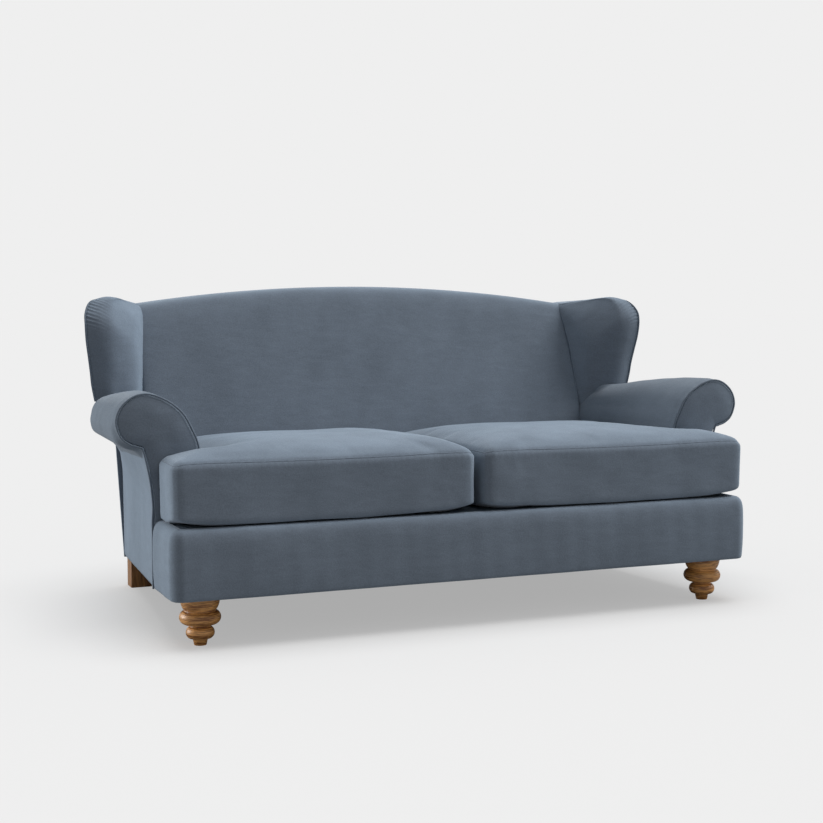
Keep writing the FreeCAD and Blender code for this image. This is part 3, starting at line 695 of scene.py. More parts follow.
@dataclass(frozen=True)
class Velvet(Finish):
    """Short-pile velvet with soft sheen: a sheen lobe, and a painted sheen that lightens the base
    colour where the surface is seen edge-on.

    Attributes:
        tips: Lighter linear colour mixed in where the surface is seen edge-on, a painted sheen.
        sheen: Weight of the sheen lobe.
        cloud: Depth of the slow colour patches.
        brush: Depth of the brush lines.
    """

    tips: Colour = (0.240, 0.310, 0.393, 1.0)
    sheen: float = 0.15
    cloud: float = 0.34
    brush: float = 0.20

    def material(self) -> Material:
        """Build the material."""
        made, shader, tree = self.start()
        shader.inputs["Sheen Weight"].default_value = self.sheen
        shader.inputs["Sheen Roughness"].default_value = 0.45
        shader.inputs["Specular IOR Level"].default_value = 0.15
        pile = self.group(tree, "brushed pile", Cloud=self.cloud, Brush=self.brush)
        # Painted sheen: the base colour turns towards a lighter colour where the surface is seen
        # edge-on.
        slope = tree.nodes.new("ShaderNodeLayerWeight")
        slope.inputs["Blend"].default_value = 0.45
        tips = tree.nodes.new("ShaderNodeMix")
        tips.data_type = "RGBA"
        tips.inputs[6].default_value = self.colour
        tips.inputs[7].default_value = self.tips
        tree.links.new(slope.outputs["Facing"], tips.inputs["Factor"])
        tree.links.new(tips.outputs[2], pile.inputs["Colour"])
        tree.links.new(pile.outputs["Colour"], shader.inputs["Base Color"])
        self.bump(tree, pile.outputs["Grain"], shader, 0.5, 0.0022)
        return made


@dataclass(frozen=True)
class Cloth(Finish):
    """Plain woven cloth or tape.

    Attributes:
        pitch: Threads per metre times two pi.
    """

    pitch: float = 4200.0

    def material(self) -> Material:
        """Build the material."""
        made, shader, tree = self.start()
        shader.inputs["Specular IOR Level"].default_value = 0.2
        threads = self.group(tree, "crossed threads", Colour=self.colour, Pitch=self.pitch)
        tree.links.new(threads.outputs["Colour"], shader.inputs["Base Color"])
        self.bump(tree, threads.outputs["Height"], shader, 0.3, 0.0004)
        return made


@dataclass(frozen=True)
class Wood(Finish):
    """Solid timber.

    Attributes:
        dark: Linear colour of the dark grain.
        coat: Weight of the clear lacquer.
        grain: Stretch of the grain along each axis.
        rings: Depth of the thin dark rings of painted shade that stand for the grooves between
            turnings.
    """

    dark: Colour = (0.2, 0.1, 0.04, 1.0)
    coat: float = 0.0
    grain: tuple[float, float, float] = (4.0, 4.0, 0.35)
    rings: float = 0.0

    def material(self) -> Material:
        """Build the material."""
        made, shader, tree = self.start()
        shader.inputs["Coat Weight"].default_value = self.coat
        shader.inputs["Coat Roughness"].default_value = 0.35
        grain = self.group(tree, "wood grain", Light=self.colour, Dark=self.dark,
                           Grain=self.grain, Rings=self.rings)
        tree.links.new(grain.outputs["Colour"], shader.inputs["Base Color"])
        self.bump(tree, grain.outputs["Height"], shader, 0.25, 0.0008)
        return made


@dataclass(frozen=True)
class Metal(Finish):
    """Plated steel."""

    def material(self) -> Material:
        """Build the material."""
        made, shader, tree = self.start()
        shader.inputs["Metallic"].default_value = 1.0
        where = tree.nodes.new("ShaderNodeTexCoord")
        scratch = tree.nodes.new("ShaderNodeTexNoise")
        scratch.inputs["Scale"].default_value = 300.0
        spread = tree.nodes.new("ShaderNodeMapRange")
        spread.inputs["To Min"].default_value = self.roughness - 0.08
        spread.inputs["To Max"].default_value = self.roughness + 0.12
        tree.links.new(where.outputs["Object"], scratch.inputs["Vector"])
        tree.links.new(scratch.outputs["Fac"], spread.inputs["Value"])
        tree.links.new(spread.outputs["Result"], shader.inputs["Roughness"])
        self.bump(tree, scratch.outputs["Fac"], shader, 0.08, 0.0002)
        return made


SLATE = (0.147, 0.178, 0.221, 1.0)

FINISHES: dict[str, Finish] = {
    "velvet": Velvet("slate velvet", SLATE, 0.9),
    # Copy of the slate velvet with a darker painted sheen: painted shade on the arms.
    "shaded_arm_velvet": Velvet("slate arm velvet", (0.146, 0.178, 0.221, 1.0), 0.9,
                         tips=(0.175, 0.222, 0.278, 1.0)),
    "cushion_velvet": Velvet("slate cushion velvet", SLATE, 0.9, cloud=0.38),
    # The piping's lighter edge-on colour is painted sheen.
    "piping": Velvet("piping velvet", (0.125, 0.155, 0.196, 1.0), 0.9,
                     tips=(0.19, 0.235, 0.29, 1.0), cloud=0.05, brush=0.02),
    "deck_cloth": Cloth("platform cloth", (0.130, 0.165, 0.208, 1.0), 0.95, pitch=3000.0),
    "dust_cloth": Cloth("black lining", (0.012, 0.012, 0.013, 1.0), 0.95, pitch=2600.0),
    "webbing": Cloth("elastic webbing", (0.30, 0.21, 0.12, 1.0), 0.9, pitch=1500.0),
    "zip_tape": Cloth("zip tape", (0.09, 0.115, 0.145, 1.0), 0.9, pitch=5200.0),
    # The rings value sets the thin dark rings of painted shade on the turned feet.
    "turned_oak": Wood("lacquered oak", (0.86, 0.44, 0.145, 1.0), 0.40,
                       dark=(0.24, 0.088, 0.018, 1.0), coat=0.3, grain=(0.8, 0.8, 9.0),
                       rings=0.75),
    "frame_timber": Wood("planed beech", (0.56, 0.38, 0.20, 1.0), 0.7,
                         dark=(0.40, 0.25, 0.12, 1.0)),
    "frame_board": Wood("birch ply", (0.60, 0.43, 0.25, 1.0), 0.7,
                        dark=(0.45, 0.30, 0.16, 1.0)),
    "steel": Metal("zinc plate", (0.55, 0.55, 0.55, 1.0), 0.4),
    "zip_metal": Metal("nickel plate", (0.40, 0.40, 0.42, 1.0), 0.35),
}


# ---- the frame's lines -------------------------------------------------------------------


@dataclass(frozen=True)
class Lines:
    """Heights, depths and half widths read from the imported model.

    Attributes:
        front: Depth of the front border's face.
        arm_front: Depth of the arm fronts.
        rear_foot: Depth of the outside back at its lower edge.
        rear_top: Depth of the outside back at its top.
        base: Half width of the front border.
        rear: Half width of the base at the rear.
        under: Underside at the front.
        rear_under: Underside at the rear.
        border_top: Upper seam of the front border.
        deck: Surface under the cushions.
        arm_inner: Inner face of the arms.
        arm_outer: Outer edge of the scrolls.
        arm_top: Crown of the scrolls.
        neck: Underside of the scrolls.
        crown: Crown of the back.
        back_half: Half width of the inside back.
    """

    front: float
    arm_front: float
    rear_foot: float
    rear_top: float
    base: float
    rear: float
    under: float
    rear_under: float
    border_top: float
    deck: float
    arm_inner: float
    arm_outer: float
    arm_top: float
    neck: float
    crown: float
    back_half: float

    @staticmethod
    def read() -> "Lines":
        """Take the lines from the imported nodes."""
        border_low, border_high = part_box("front_border")
        pad_low, pad_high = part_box("arm_pad_right")
        back_low, back_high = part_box("outside_back")
        return Lines(
            front=border_low.y, arm_front=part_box("arm_facing_right")[0].y,
            rear_foot=back_low.y + 0.008, rear_top=back_high.y, base=border_high.x,
            rear=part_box("rear_rail")[1].x + 0.008, under=border_low.z, rear_under=back_low.z,
            border_top=border_high.z, deck=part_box("border_lip")[1].z, arm_inner=pad_low.x,
            arm_outer=pad_high.x, arm_top=pad_high.z, neck=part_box("arm_rail_right")[1].z,
            crown=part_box("inside_back")[1].z, back_half=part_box("inside_back")[1].x)

    def side(self, y: Array | float) -> Array:
        """Half width of the base at depth y."""
        start = self.arm_front + 0.012
        t = np.clip((np.asarray(y, float) - start) / (self.rear_foot - 0.008 - start), 0.0, 1.2)
        return self.base - (self.base - self.rear) * t

    def underside(self, y: Array | float) -> Array:
        """Height of the underside at depth y."""
        start = self.arm_front + 0.012
        t = np.clip((np.asarray(y, float) - start) / (self.rear_foot - 0.008 - start), 0.0, 1.0)
        return self.under - (self.under - self.rear_under) * t

    def outside_back(self, z: Array | float) -> Array:
        """Depth of the outer face of the outside back at height z."""
        top = self.crown - 0.030
        t = (np.asarray(z, float) - self.rear_under) / (top - self.rear_under)
        return self.rear_foot + (self.rear_top - self.rear_foot) * t

    def inside_back(self, z: Array | float) -> Array:
        """Depth of the padded front of the back at height z."""
        return self.rear_top - 0.240 + 0.336 * (np.asarray(z, float) - 0.500)

    def wing_outside(self, y: Array | float) -> Array:
        """Half width of the outside wing's lower edge at depth y."""
        t = (np.asarray(y, float) - 0.259) / 0.226
        return 0.9035 - 0.0915 * t

    def arch(self, x: Array | float) -> Array:
        """Height of the arched top of the back at x."""
        rise = 0.056
        radius = (self.back_half ** 2 + rise ** 2) / (2 * rise)
        return self.crown - radius + np.sqrt(radius ** 2 - np.asarray(x, float) ** 2)


# ---- back --------------------------------------------------------------------------------


@dataclass(frozen=True)
class Back:
    """Padded inside back and the plain outside back.

    Attributes:
        roll: Radius of the padded roll at the top.
        fullness: How far the padding stands forward in the middle.
        tuck: How deep the padding is drawn in beside the wings.
    """

    lines: Lines
    roll: float = 0.034
    fullness: float = 0.007
    tuck: float = 0.006

    def build(self) -> None:
        """Make both panels."""
        self.inside()
        self.outside()

    def inside(self) -> Object:
        """Padded front of the back, rolled over its arched top."""
        lines = self.lines
        half = lines.back_half + 0.006
        rings = []
        for x in np.linspace(-half, half, 121):
            top = float(lines.arch(min(abs(x), lines.back_half)))
            edge = 1.0 - abs(x) / half
            full = self.fullness * float(smooth_step(edge, 0.0, 0.5))
            full -= self.tuck * float(np.exp(-edge * half / 0.012))
            low = 0.345
            rear = float(lines.outside_back(top))
            front = [(float(lines.inside_back(z)) - full * sin(pi * min(max((z - low) / (
                top - low), 0.0), 1.0) ** 0.8), z) for z in np.linspace(low, top - 0.065, 8)]
            lip = float(lines.inside_back(top))
            foot = float(lines.inside_back(low))
            front = [(foot + 0.034, low - 0.0268), (foot + 0.016, low - 0.0240),
                     (foot + 0.004, low - 0.0130)] + front
            front += [(lip - 0.008 - full * 0.3, top - self.roll), (lip + 0.003, top - 0.014),
                      (lip + 0.019, top - 0.003), (lip + 0.045, top + 0.0015),
                      (rear - 0.018, top), (rear - 0.008, top - 0.006),
                      (rear - 0.006, top - 0.024)]
            skin = spline(front, 86)
            hidden = np.array([(rear - 0.03, top - 0.04), (rear - 0.06, low), (foot + 0.06, low)])
            yz = np.vstack([skin, hidden])
            rings.append(np.column_stack([np.full(len(yz), x), yz]))
        cover = np.array(rings)
        skin_part = cover[:, :86]
        skin_part[..., 1] += 0.0011 * ripples(skin_part, 0.30, 11)
        obj = tube_of_rings("inside_back_cover", cover)
        return settle(obj, "sofa", "velvet", material("velvet"), "inside_back", fill=0.8)

    def outside(self) -> Object:
        """Flat panel behind the back, with turned edges."""
        lines = self.lines
        u = np.sin(np.linspace(-1.0, 1.0, 97) * pi / 2)
        v = np.linspace(0.0, 1.0, 57)
        grid_u, grid_v = np.meshgrid(u, v)
        low = lines.rear_under
        level = low + (0.89 - low) * grid_v
        half = lines.rear + 0.036 * np.clip((level - low) / 0.75, 0.0, 1.0)
        x = grid_u * half
        wing_top = np.interp(np.abs(x), (lines.back_half, 0.765, 0.788, 0.800, 0.812, 0.820, 0.825),
                             (0.886, 0.890, 0.893, 0.892, 0.889, 0.881, 0.862))
        top = np.where(np.abs(x) < lines.back_half,
                       lines.arch(np.minimum(np.abs(x), lines.back_half)) - 0.008, wing_top)
        z = low + (top - low) * grid_v
        near = np.minimum((1 - np.abs(grid_u)) * 0.80, np.minimum(z - low, top - z))
        y = lines.outside_back(z) - 0.007 * np.exp(-(near / 0.008) ** 1.4)
        y += 0.0016 * ripples(np.stack([x, y, z], -1), 0.35, 5) * smooth_step(near, 0.0, 0.08)
        y = np.minimum(y, lines.outside_back(z) + 0.003)
        face = np.stack([x, y, z], -1)
        back = np.stack([x, lines.outside_back(z) - 0.016, z], -1)
        obj = slab("outside_back_cover", face, back)
        return settle(obj, "sofa", "velvet", material("velvet"), "outside_back", fill=0.9)


# ---- wings -------------------------------------------------------------------------------


@dataclass(frozen=True)
class Wing:
    """Padded wing with a piped outer edge and gathers at its top front corner.

    Attributes:
        gathers: Number of gathers.
        gather_depth: Height of the gathers.
        gather_reach: How far they run in from the piping.
        cord: Radius of the piping.
    """

    lines: Lines
    gathers: int = 11
    gather_depth: float = 0.0019
    gather_reach: float = 0.022
    cord: float = 0.0026

    def ridge(self, count: int) -> Array:
        """Outer front edge, from inside the arm up and over to the back."""
        return spline([(0.873, 0.262, 0.503), (0.900, 0.258, 0.560), (0.918, 0.251, 0.637),
                       (0.924, 0.246, 0.685), (0.931, 0.237, 0.733), (0.938, 0.228, 0.780),
                       (0.941, 0.224, 0.827), (0.939, 0.233, 0.862), (0.922, 0.258, 0.893),
                       (0.896, 0.272, 0.905), (0.866, 0.282, 0.9105), (0.838, 0.306, 0.908),
                       (0.790, 0.362, 0.898), (0.7457, 0.412, 0.888)], count)

    def inner_edge(self, count: int) -> Array:
        """Rounded inner front corner of the wing."""
        return spline([(0.815, 0.278, 0.503), (0.822, 0.268, 0.575), (0.828, 0.258, 0.637),
                       (0.833, 0.250, 0.685), (0.838, 0.242, 0.733), (0.842, 0.236, 0.780),
                       (0.845, 0.234, 0.815), (0.846, 0.240, 0.842), (0.843, 0.254, 0.868),
                       (0.838, 0.270, 0.884), (0.828, 0.290, 0.894), (0.812, 0.314, 0.896),
                       (0.779, 0.360, 0.890), (0.7450, 0.411, 0.883)], count)

    def crease(self, count: int) -> Array:
        """Line where the wing meets the inside back."""
        return spline([(0.768, 0.286, 0.503), (0.765, 0.300, 0.575), (0.762, 0.312, 0.637),
                       (0.758, 0.324, 0.685), (0.755, 0.336, 0.733), (0.750, 0.350, 0.780),
                       (0.747, 0.362, 0.810), (0.745, 0.370, 0.830), (0.744, 0.376, 0.842),
                       (0.743, 0.382, 0.852), (0.742, 0.388, 0.860), (0.742, 0.393, 0.868),
                       (0.742, 0.401, 0.875), (0.743, 0.410, 0.880)], count)

    def rear_edge(self, count: int) -> Array:
        """Line where the outside wing meets the outside back."""
        return spline([(0.812, 0.484, 0.503), (0.815, 0.489, 0.575), (0.8175, 0.493, 0.637),
                       (0.8195, 0.496, 0.685), (0.8215, 0.500, 0.733), (0.823, 0.503, 0.780),
                       (0.8245, 0.506, 0.827), (0.824, 0.508, 0.858), (0.820, 0.510, 0.880),
                       (0.812, 0.511, 0.890), (0.800, 0.512, 0.893), (0.788, 0.512, 0.894),
                       (0.765, 0.512, 0.8915), (0.744, 0.512, 0.888)], count)

    def build(self) -> None:
        """Make both wings and their piping."""
        rows = 420
        ridge, inner = self.ridge(rows), self.inner_edge(rows)
        crease = self.crease(rows) + np.array([-0.010, 0.018, 0.0])
        rear = self.rear_edge(rows)
        place = np.linspace(0.0, 1.0, rows)
        rings = []
        for k in range(rows):
            fade = float(1.0 - smooth_step(place[k], 0.70, 0.96))
            face = (ridge[k] + inner[k]) / 2 + fade * np.array([0.0, -0.013, 0.004])
            side = (inner[k] + crease[k]) / 2 + fade * np.array([-0.010, -0.008, 0.0])
            front = spline([ridge[k], face, inner[k] + fade * np.array([0.006, -0.004, 0.0]),
                            side, crease[k]], 44)
            outer = (ridge[k] + rear[k]) / 2 + fade * np.array([0.004, 0.0, 0.004])
            hidden = [crease[k] * (1 - t) + rear[k] * t for t in (0.3, 0.6, 0.85)]
            panel = spline([rear[k], outer, ridge[k]], 30)[:-1]
            rings.append(np.vstack([front, hidden, panel]))
        body = np.array(rings)
        skin = body[:, :44]
        reach = np.linalg.norm(skin - skin[:, :1], axis=2)
        corner = smooth_step(place, 0.49, 0.53) * (1 - smooth_step(place, 0.66, 0.70))
        wave = np.sin((place - 0.49) / 0.21 * 2 * pi * self.gathers)
        chance = np.random.default_rng(4)
        uneven = np.interp(place, np.linspace(0, 1, 60), chance.uniform(0.3, 1.0, 60))
        fold = (wave * corner * uneven)[:, None] * np.exp(-reach / self.gather_reach)
        fold *= smooth_step(reach, 0.0, 0.006)
        skin[..., 1] -= self.gather_depth * fold
        skin[..., 2] += self.gather_depth * 0.5 * fold
        skin[..., 1] += 0.0010 * ripples(skin, 0.16, 21) * smooth_step(reach, 0.0, 0.03)
        pad = tube_of_rings("wing_right", body)
        path = ridge[66:310:2] + np.array([0.0010, -0.0008, 0.0])
        path[-30:] += np.linspace(0, 1, 30)[:, None] ** 1.5 * np.array([-0.003, 0.010, -0.007])
        cord = PIPING().bake(path_object(path),
                             "wing_cord_right", Radius=self.cord, Finish=material("piping"))
        for obj, nodes, slot in ((pad, ("wing_pad", "outside_wing"), "velvet"),
                                 (cord, ("wing_piping",), "piping")):
            place_pair(obj, nodes, slot, 0.85 if obj is pad else None)


def place_pair(obj: Object, nodes: tuple[str, ...], slot: str, fill: float | None,
               finish: str = "") -> None:
    """Put a right-hand piece and its mirror image in place.

    Args:
        obj: The right-hand piece, its name ending in "right".
        nodes: Names of the replaced nodes without their side.
        slot: Material slot.
        fill: How full the pieces are, if padded.
        finish: Finish, where it isn't the slot's own.
    """
    stem = obj.name.removesuffix("_right")
    twin = mirrored(obj, f"{stem}_left")
    for piece, side in ((obj, Side.RIGHT), (twin, Side.LEFT)):
        names = tuple(f"{node}_{side.word}" for node in nodes)
        settle(piece, "sofa", slot, material(finish or slot), *names, fill=fill)


# ---- arms --------------------------------------------------------------------------------


SCROLL = ((0.004, -0.22), (0.031, 0.113), (0.102, 0.367), (0.196, 0.62), (0.333, 0.813),
          (0.498, 0.947), (0.658, 1.0), (0.813, 0.94), (0.947, 0.76), (1.0, 0.513),
          (0.947, 0.253), (0.844, 0.12), (0.733, 0.062), (0.684, 0.0))


@dataclass(frozen=True)
class Arm:
    """Scroll arm: padded cover, puffed facing, piping and the panel outside.

    Attributes:
        drop: How much lower the scroll is at the rear.
        narrowing: How much narrower it is there.
        proud: How far the padding stands outside the piping.
        hang: How much further the padding hangs under the scroll.
        puff: How far the middle of the facing stands forward.
        cord: Radius of the piping.
    """

    lines: Lines
    drop: float = 0.026
    narrowing: float = 0.029
    proud: float = 0.003
    hang: float = 0.014
    puff: float = 0.006
    cord: float = 0.0028

    def outline(self, y: float, extra: tuple[tuple[float, float], ...], count: int) -> Array:
        """Section of the scroll at depth y.

        Args:
            y: Depth.
            extra: Points after the neck, in the scroll's own units.
            count: Number of points.

        Returns:
            Points (x, z).
        """
        lines = self.lines
        t = (y - lines.arm_front - 0.012) / 0.547
        wide = lines.arm_outer - lines.arm_inner - self.narrowing * t
        tall = lines.arm_top - lines.neck - self.drop * t
        points = spline(((0.0, -1.35),) + SCROLL + extra, count)
        unit = lines.arm_top - lines.neck
        x = lines.arm_inner + points[:, 0] * wide
        z = lines.neck + np.where(points[:, 1] > 0, tall, unit) * points[:, 1]
        return np.column_stack([x, z])

    def cover(self) -> Object:
        """Padding over the inside of the arm and round the scroll."""
        lines = self.lines
        rings = []
        for y in np.concatenate([np.linspace(lines.arm_front + 0.008, -0.24, 20),
                                 np.linspace(-0.23, 0.315, 60)]):
            line = self.outline(float(y), (), 110)
            way = np.gradient(line, axis=0)
            way /= np.linalg.norm(way, axis=1, keepdims=True)
            out = np.column_stack([-way[:, 1], way[:, 0]])
            rise = self.proud * float(smooth_step(y, lines.arm_front + 0.008, -0.272))
            rise -= 0.003 * float(smooth_step(y, -0.2, 0.2))
            above = smooth_step(line[:, 1], 0.50, 0.56)
            hang = self.hang * float(smooth_step(y, lines.arm_front + 0.008, -0.255))
            under = smooth_step(-out[:, 1], -0.1, 0.8) * smooth_step(out[:, 0], -0.5, 0.1)
            line = line + out * (rise * above + hang * under)[:, None]
            end = float(smooth_step(y, 0.16, 0.315))
            line[:, 0] += 0.006 * end * (1 - smooth_step(line[:, 0], 0.74, 0.86))
            fall = 0.005 * sin(pi * min((y - lines.arm_front) / 0.35, 1.0)) - 0.019 * float(
                smooth_step(y, 0.0, 0.34))
            close = float(smooth_step(y, 0.17, 0.268))
            line[:, 0] -= 0.95 * close * np.maximum(line[:, 0] - 0.862, 0.0)
            buried = float(smooth_step(y, 0.225, 0.29))
            line[:, 0] -= 0.9 * buried * np.maximum(line[:, 0] - 0.80, 0.0)
            inner = 1 - smooth_step(line[:, 0], 0.86, 0.94)
            line[:, 1] += fall * smooth_step(line[:, 1], 0.52, 0.64) * inner
            ring = np.vstack([line, [(0.80, 0.40)], [(0.765, 0.30)]])
            rings.append(np.column_stack([ring[:, 0], np.full(len(ring), y), ring[:, 1]]))
        body = np.array(rings)
        skin = body[:, :110]
        swell = ripples(skin, 0.22, 31)
        near = np.exp(-(skin[..., 1] - lines.arm_front) / 0.05)
        fine = ripples(skin * np.array([1.0, 0.25, 1.0]), 0.05, 9) * near
        mid = np.array([0.87, 0.0, 0.55])
        out = skin - mid
        out[..., 1] = 0
        out /= np.linalg.norm(out, axis=2, keepdims=True)
        skin += out * (0.0014 * swell + 0.0010 * fine)[..., None] * smooth_step(
            skin[..., 2], 0.52, 0.56)[..., None]
        return tube_of_rings("arm_cover_right", body)

    def facing(self) -> Object:
        """Puffed panel on the front of the arm."""
        lines = self.lines
        edge = self.outline(lines.arm_front + 0.012,
                            ((0.609, -0.507), (0.578, -0.953), (0.571, -1.35)), 240)
        base = np.linspace(edge[-1], edge[0], 30)[1:-1]
        loop = even(np.vstack([edge, base, edge[:1]]), 260, endpoint=False)
        spine = even(np.array([(0.803, 0.340), (0.812, 0.46), (0.838, 0.55), (0.888, 0.578)]), 60)
        gaps = np.linalg.norm(loop[:, None] - spine[None], axis=2)
        core = spine[gaps.argmin(axis=1)]
        way = loop - core
        length = np.linalg.norm(way, axis=1, keepdims=True)
        loop = core + way * (length - 0.0055) / length
        rings = [np.column_stack([loop[:, 0], np.full(len(loop), lines.arm_front + 0.010),
                                  loop[:, 1]])]
        for r in np.linspace(0.0, 0.985, 22):
            flat = core + (loop - core) * (1 - r)
            depth = lines.arm_front + 0.003 - self.puff * (1 - (1 - min(r * 1.35, 1.0)) ** 2.2)
            rings.append(np.column_stack([flat[:, 0], np.full(len(flat), depth), flat[:, 1]]))
        body = np.array(rings)
        body[1:, :, 1] += 0.0003 * ripples(body[1:], 0.12, 12)
        return tube_of_rings("arm_facing_cover_right", body)

    def piping(self) -> Object:
        """Cord round the facing and down the joint to the underside."""
        lines = self.lines
        line = self.outline(lines.arm_front + 0.012,
                            ((0.609, -0.507), (0.578, -0.953), (0.571, -1.35)), 260)
        foot = np.linspace(line[-1], (lines.base, lines.under + 0.002), 40)[1:]
        line = np.vstack([line[30:], foot])
        low = 1 - smooth_step(line[:, 1], 0.30, 0.36)
        path = np.column_stack([line[:, 0] - 0.001 + 0.003 * low,
                                lines.arm_front + 0.003 + 0.001 * low, line[:, 1]])
        return PIPING().bake(path_object(even(path, 330)), "facing_cord_right",
                             Radius=self.cord, Finish=material("piping"))

    def outside(self) -> Object:
        """Panel from the neck of the scroll to the underside."""
        lines = self.lines
        start = lines.arm_front + 0.008
        u = np.linspace(0.0, 1.0, 110)[None]
        v = np.linspace(0.0, 1.0, 60)[:, None]
        low = lines.underside(start + (lines.rear_foot - start) * u)
        z = low + (lines.neck + 0.004 - low) * v
        end = lines.outside_back(z) - 0.004
        y = start + (end - start) * u
        side = lines.side(y)
        t = (y - lines.arm_front - 0.012) / 0.547
        wide = lines.arm_outer - lines.arm_inner - self.narrowing * t
        neck = lines.arm_inner + 0.684 * wide
        neck = np.where(y > 0.25, 0.8754 - (0.8754 - 0.812) * (y - 0.25) / 0.234, neck)
        rise = np.clip((z - 0.343) / (lines.neck - 0.343), 0.0, 1.1)
        x = side + (neck - side) * rise ** 1.9
        near = np.minimum(np.minimum(y - lines.arm_front, z - low), end - y)
        x = x - 0.006 * np.exp(-(near / 0.008) ** 1.4)
        x = x + 0.0035 * smooth_step(near, 0.0, 0.12) * (1 - rise)
        face = np.stack([x, y, z], -1)
        face[..., 0] += 0.0015 * ripples(face, 0.30, 41) * smooth_step(near, 0.0, 0.10)
        back = face.copy()
        back[..., 0] -= 0.012
        back[..., 2] = np.minimum(back[..., 2], lines.neck - 0.002)
        return slab("outside_arm_cover_right", face, back)

    def build(self) -> None:
        """Make both arms."""
        # The arm covers take the velvet copy with the darker painted sheen, painted shade.
        place_pair(self.cover(), ("arm_pad",), "velvet", 0.85, "shaded_arm_velvet")
        place_pair(self.facing(), ("arm_facing",), "velvet", 0.8)
        place_pair(self.piping(), ("facing_piping",), "piping", None)
        place_pair(self.outside(), ("outside_arm",), "velvet", 0.9)


# ---- seat base ---------------------------------------------------------------------------


@dataclass(frozen=True)
class Base:
    """Front border with its rolled top, the platform and the dust cover.

    Attributes:
        corner: Radius of the front corners.
        skin: Depth of the visible shell behind its face.
        sag: How far the dust cover hangs.
    """

    lines: Lines
    corner: float = 0.034
    skin: float = 0.030
    sag: float = 0.003

    def path(self) -> tuple[Array, Array]:
        """Plan line round the border and its outward directions."""
        lines, r = self.lines, self.corner
        side = np.column_stack([np.full(24, lines.base),
                                np.linspace(lines.arm_front - 0.001, lines.front + r, 24)])
        turn = np.linspace(0, -pi / 2, 16)[1:-1]
        bend = np.column_stack([lines.base - r + r * np.cos(turn),
                                lines.front + r + r * np.sin(turn)])
        front = np.column_stack([np.linspace(lines.base - r, 0.0, 100),
                                 np.full(100, lines.front)])
        right = np.vstack([side, bend, front])
        line = np.vstack([right, (right * [-1, 1])[-2::-1]])
        way = np.gradient(line, axis=0)
        way /= np.linalg.norm(way, axis=1, keepdims=True)
        return line, np.column_stack([-way[:, 1], way[:, 0]])

    def sweep(self, name: str, profile: list[tuple[float, float]], wrinkle: float,
              seed: int) -> Object:
        """Carry a profile round the border.

        Args:
            name: Name of the piece.
            profile: Visible points (outward offset, height), from the bottom up.
            wrinkle: Size of the unevenness.
            seed: Its pattern.

        Returns:
            The piece.
        """
        line, out = self.path()
        skin = spline(profile, 44)
        hidden = np.array([(-self.skin, skin[-1, 1]), (-self.skin, skin[0, 1])])
        section = np.vstack([skin, hidden])
        rings = np.empty((len(line), len(section), 3))
        rings[..., :2] = line[:, None] + out[:, None] * section[None, :, :1]
        rings[..., 2] = section[None, :, 1]
        part = rings[:, :44]
        lift = wrinkle * ripples(part * np.array([1.0, 1.0, 0.35]), 0.20, seed)
        part[..., :2] += out[:, None] * lift[..., None]
        return tube_of_rings(name, rings)

    def build(self) -> None:
        """Make the three pieces."""
        lines = self.lines
        low, deck = lines.under, lines.deck
        border = self.sweep("front_border_cover", [
            (-0.006, low + 0.0005), (-0.001, low + 0.003), (0.001, low + 0.015),
            (0.003, low + 0.05), (0.0035, low + 0.09), (0.003, low + 0.13),
            (0.0015, deck - 0.034), (-0.002, deck - 0.018), (-0.008, deck - 0.008),
            (-0.017, deck - 0.0022), (-0.027, deck - 0.0008)], 0.0016, 51)
        settle(border, "sofa", "velvet", material("velvet"), "front_border", "border_lip",
               fill=0.85)
        self.platform()
        self.dust_cover()

    def platform(self) -> Object:
        """Cloth that the seat cushions lie on, slightly dimpled over the springs."""
        lines = self.lines
        y = np.concatenate([np.linspace(lines.front + 0.022, lines.arm_front - 0.004, 16),
                            np.linspace(lines.arm_front + 0.001, 0.286, 60)])[:, None]
        half = np.where(y < lines.arm_front, lines.base - 0.022, lines.arm_inner - 0.002)
        x = np.linspace(-1.0, 1.0, 161)[None] * half
        z = lines.deck - 0.0012 - 0.0012 * (0.5 + 0.5 * np.cos(x * 2 * pi / 0.13)) + 0 * y
        face = np.stack([x, y + 0 * x, z], -1)
        back = face - np.array([0.0, 0.0, 0.0022])
        obj = settle(slab("platform_cloth", face, back), "sofa", "deck_cloth",
                     material("deck_cloth"), "seat_deck")
        return obj

    def dust_cover(self) -> Object:
        """Lining stapled under the frame."""
        lines = self.lines
        y = np.linspace(lines.front + 0.014, lines.rear_foot - 0.016, 70)[:, None]
        half = lines.side(y) - 0.014
        u = np.linspace(-1.0, 1.0, 121)[None]
        x = u * half
        v = (y - y[0]) / (y[-1] - y[0])
        hang = self.sag * (1 - u ** 4) * np.sin(pi * v) ** 0.5
        z = lines.underside(y) + 0.0012 - hang
        low = np.stack([x, y + 0 * x, z], -1)
        obj = settle(slab("dust_cloth_cover", low + np.array([0.0, 0.0, 0.0016]), low), "sofa",
                     "dust_cloth", material("dust_cloth"), "dust_cover")
        rim = np.vstack([low[0, :, :], low[1:, -1, :], low[-1, -2::-1, :]])
        staples = ROWS().bake(path_object(even(rim + np.array([0, 0, 0.0002]), 400)), "staples",
                              Pitch=0.045, Length=0.010, Width=0.0012, Height=0.0012,
                              Finish=material("steel"))
        settle(staples, "sofa", "steel", material("steel"))
        return obj


# ---- cushions ----------------------------------------------------------------------------


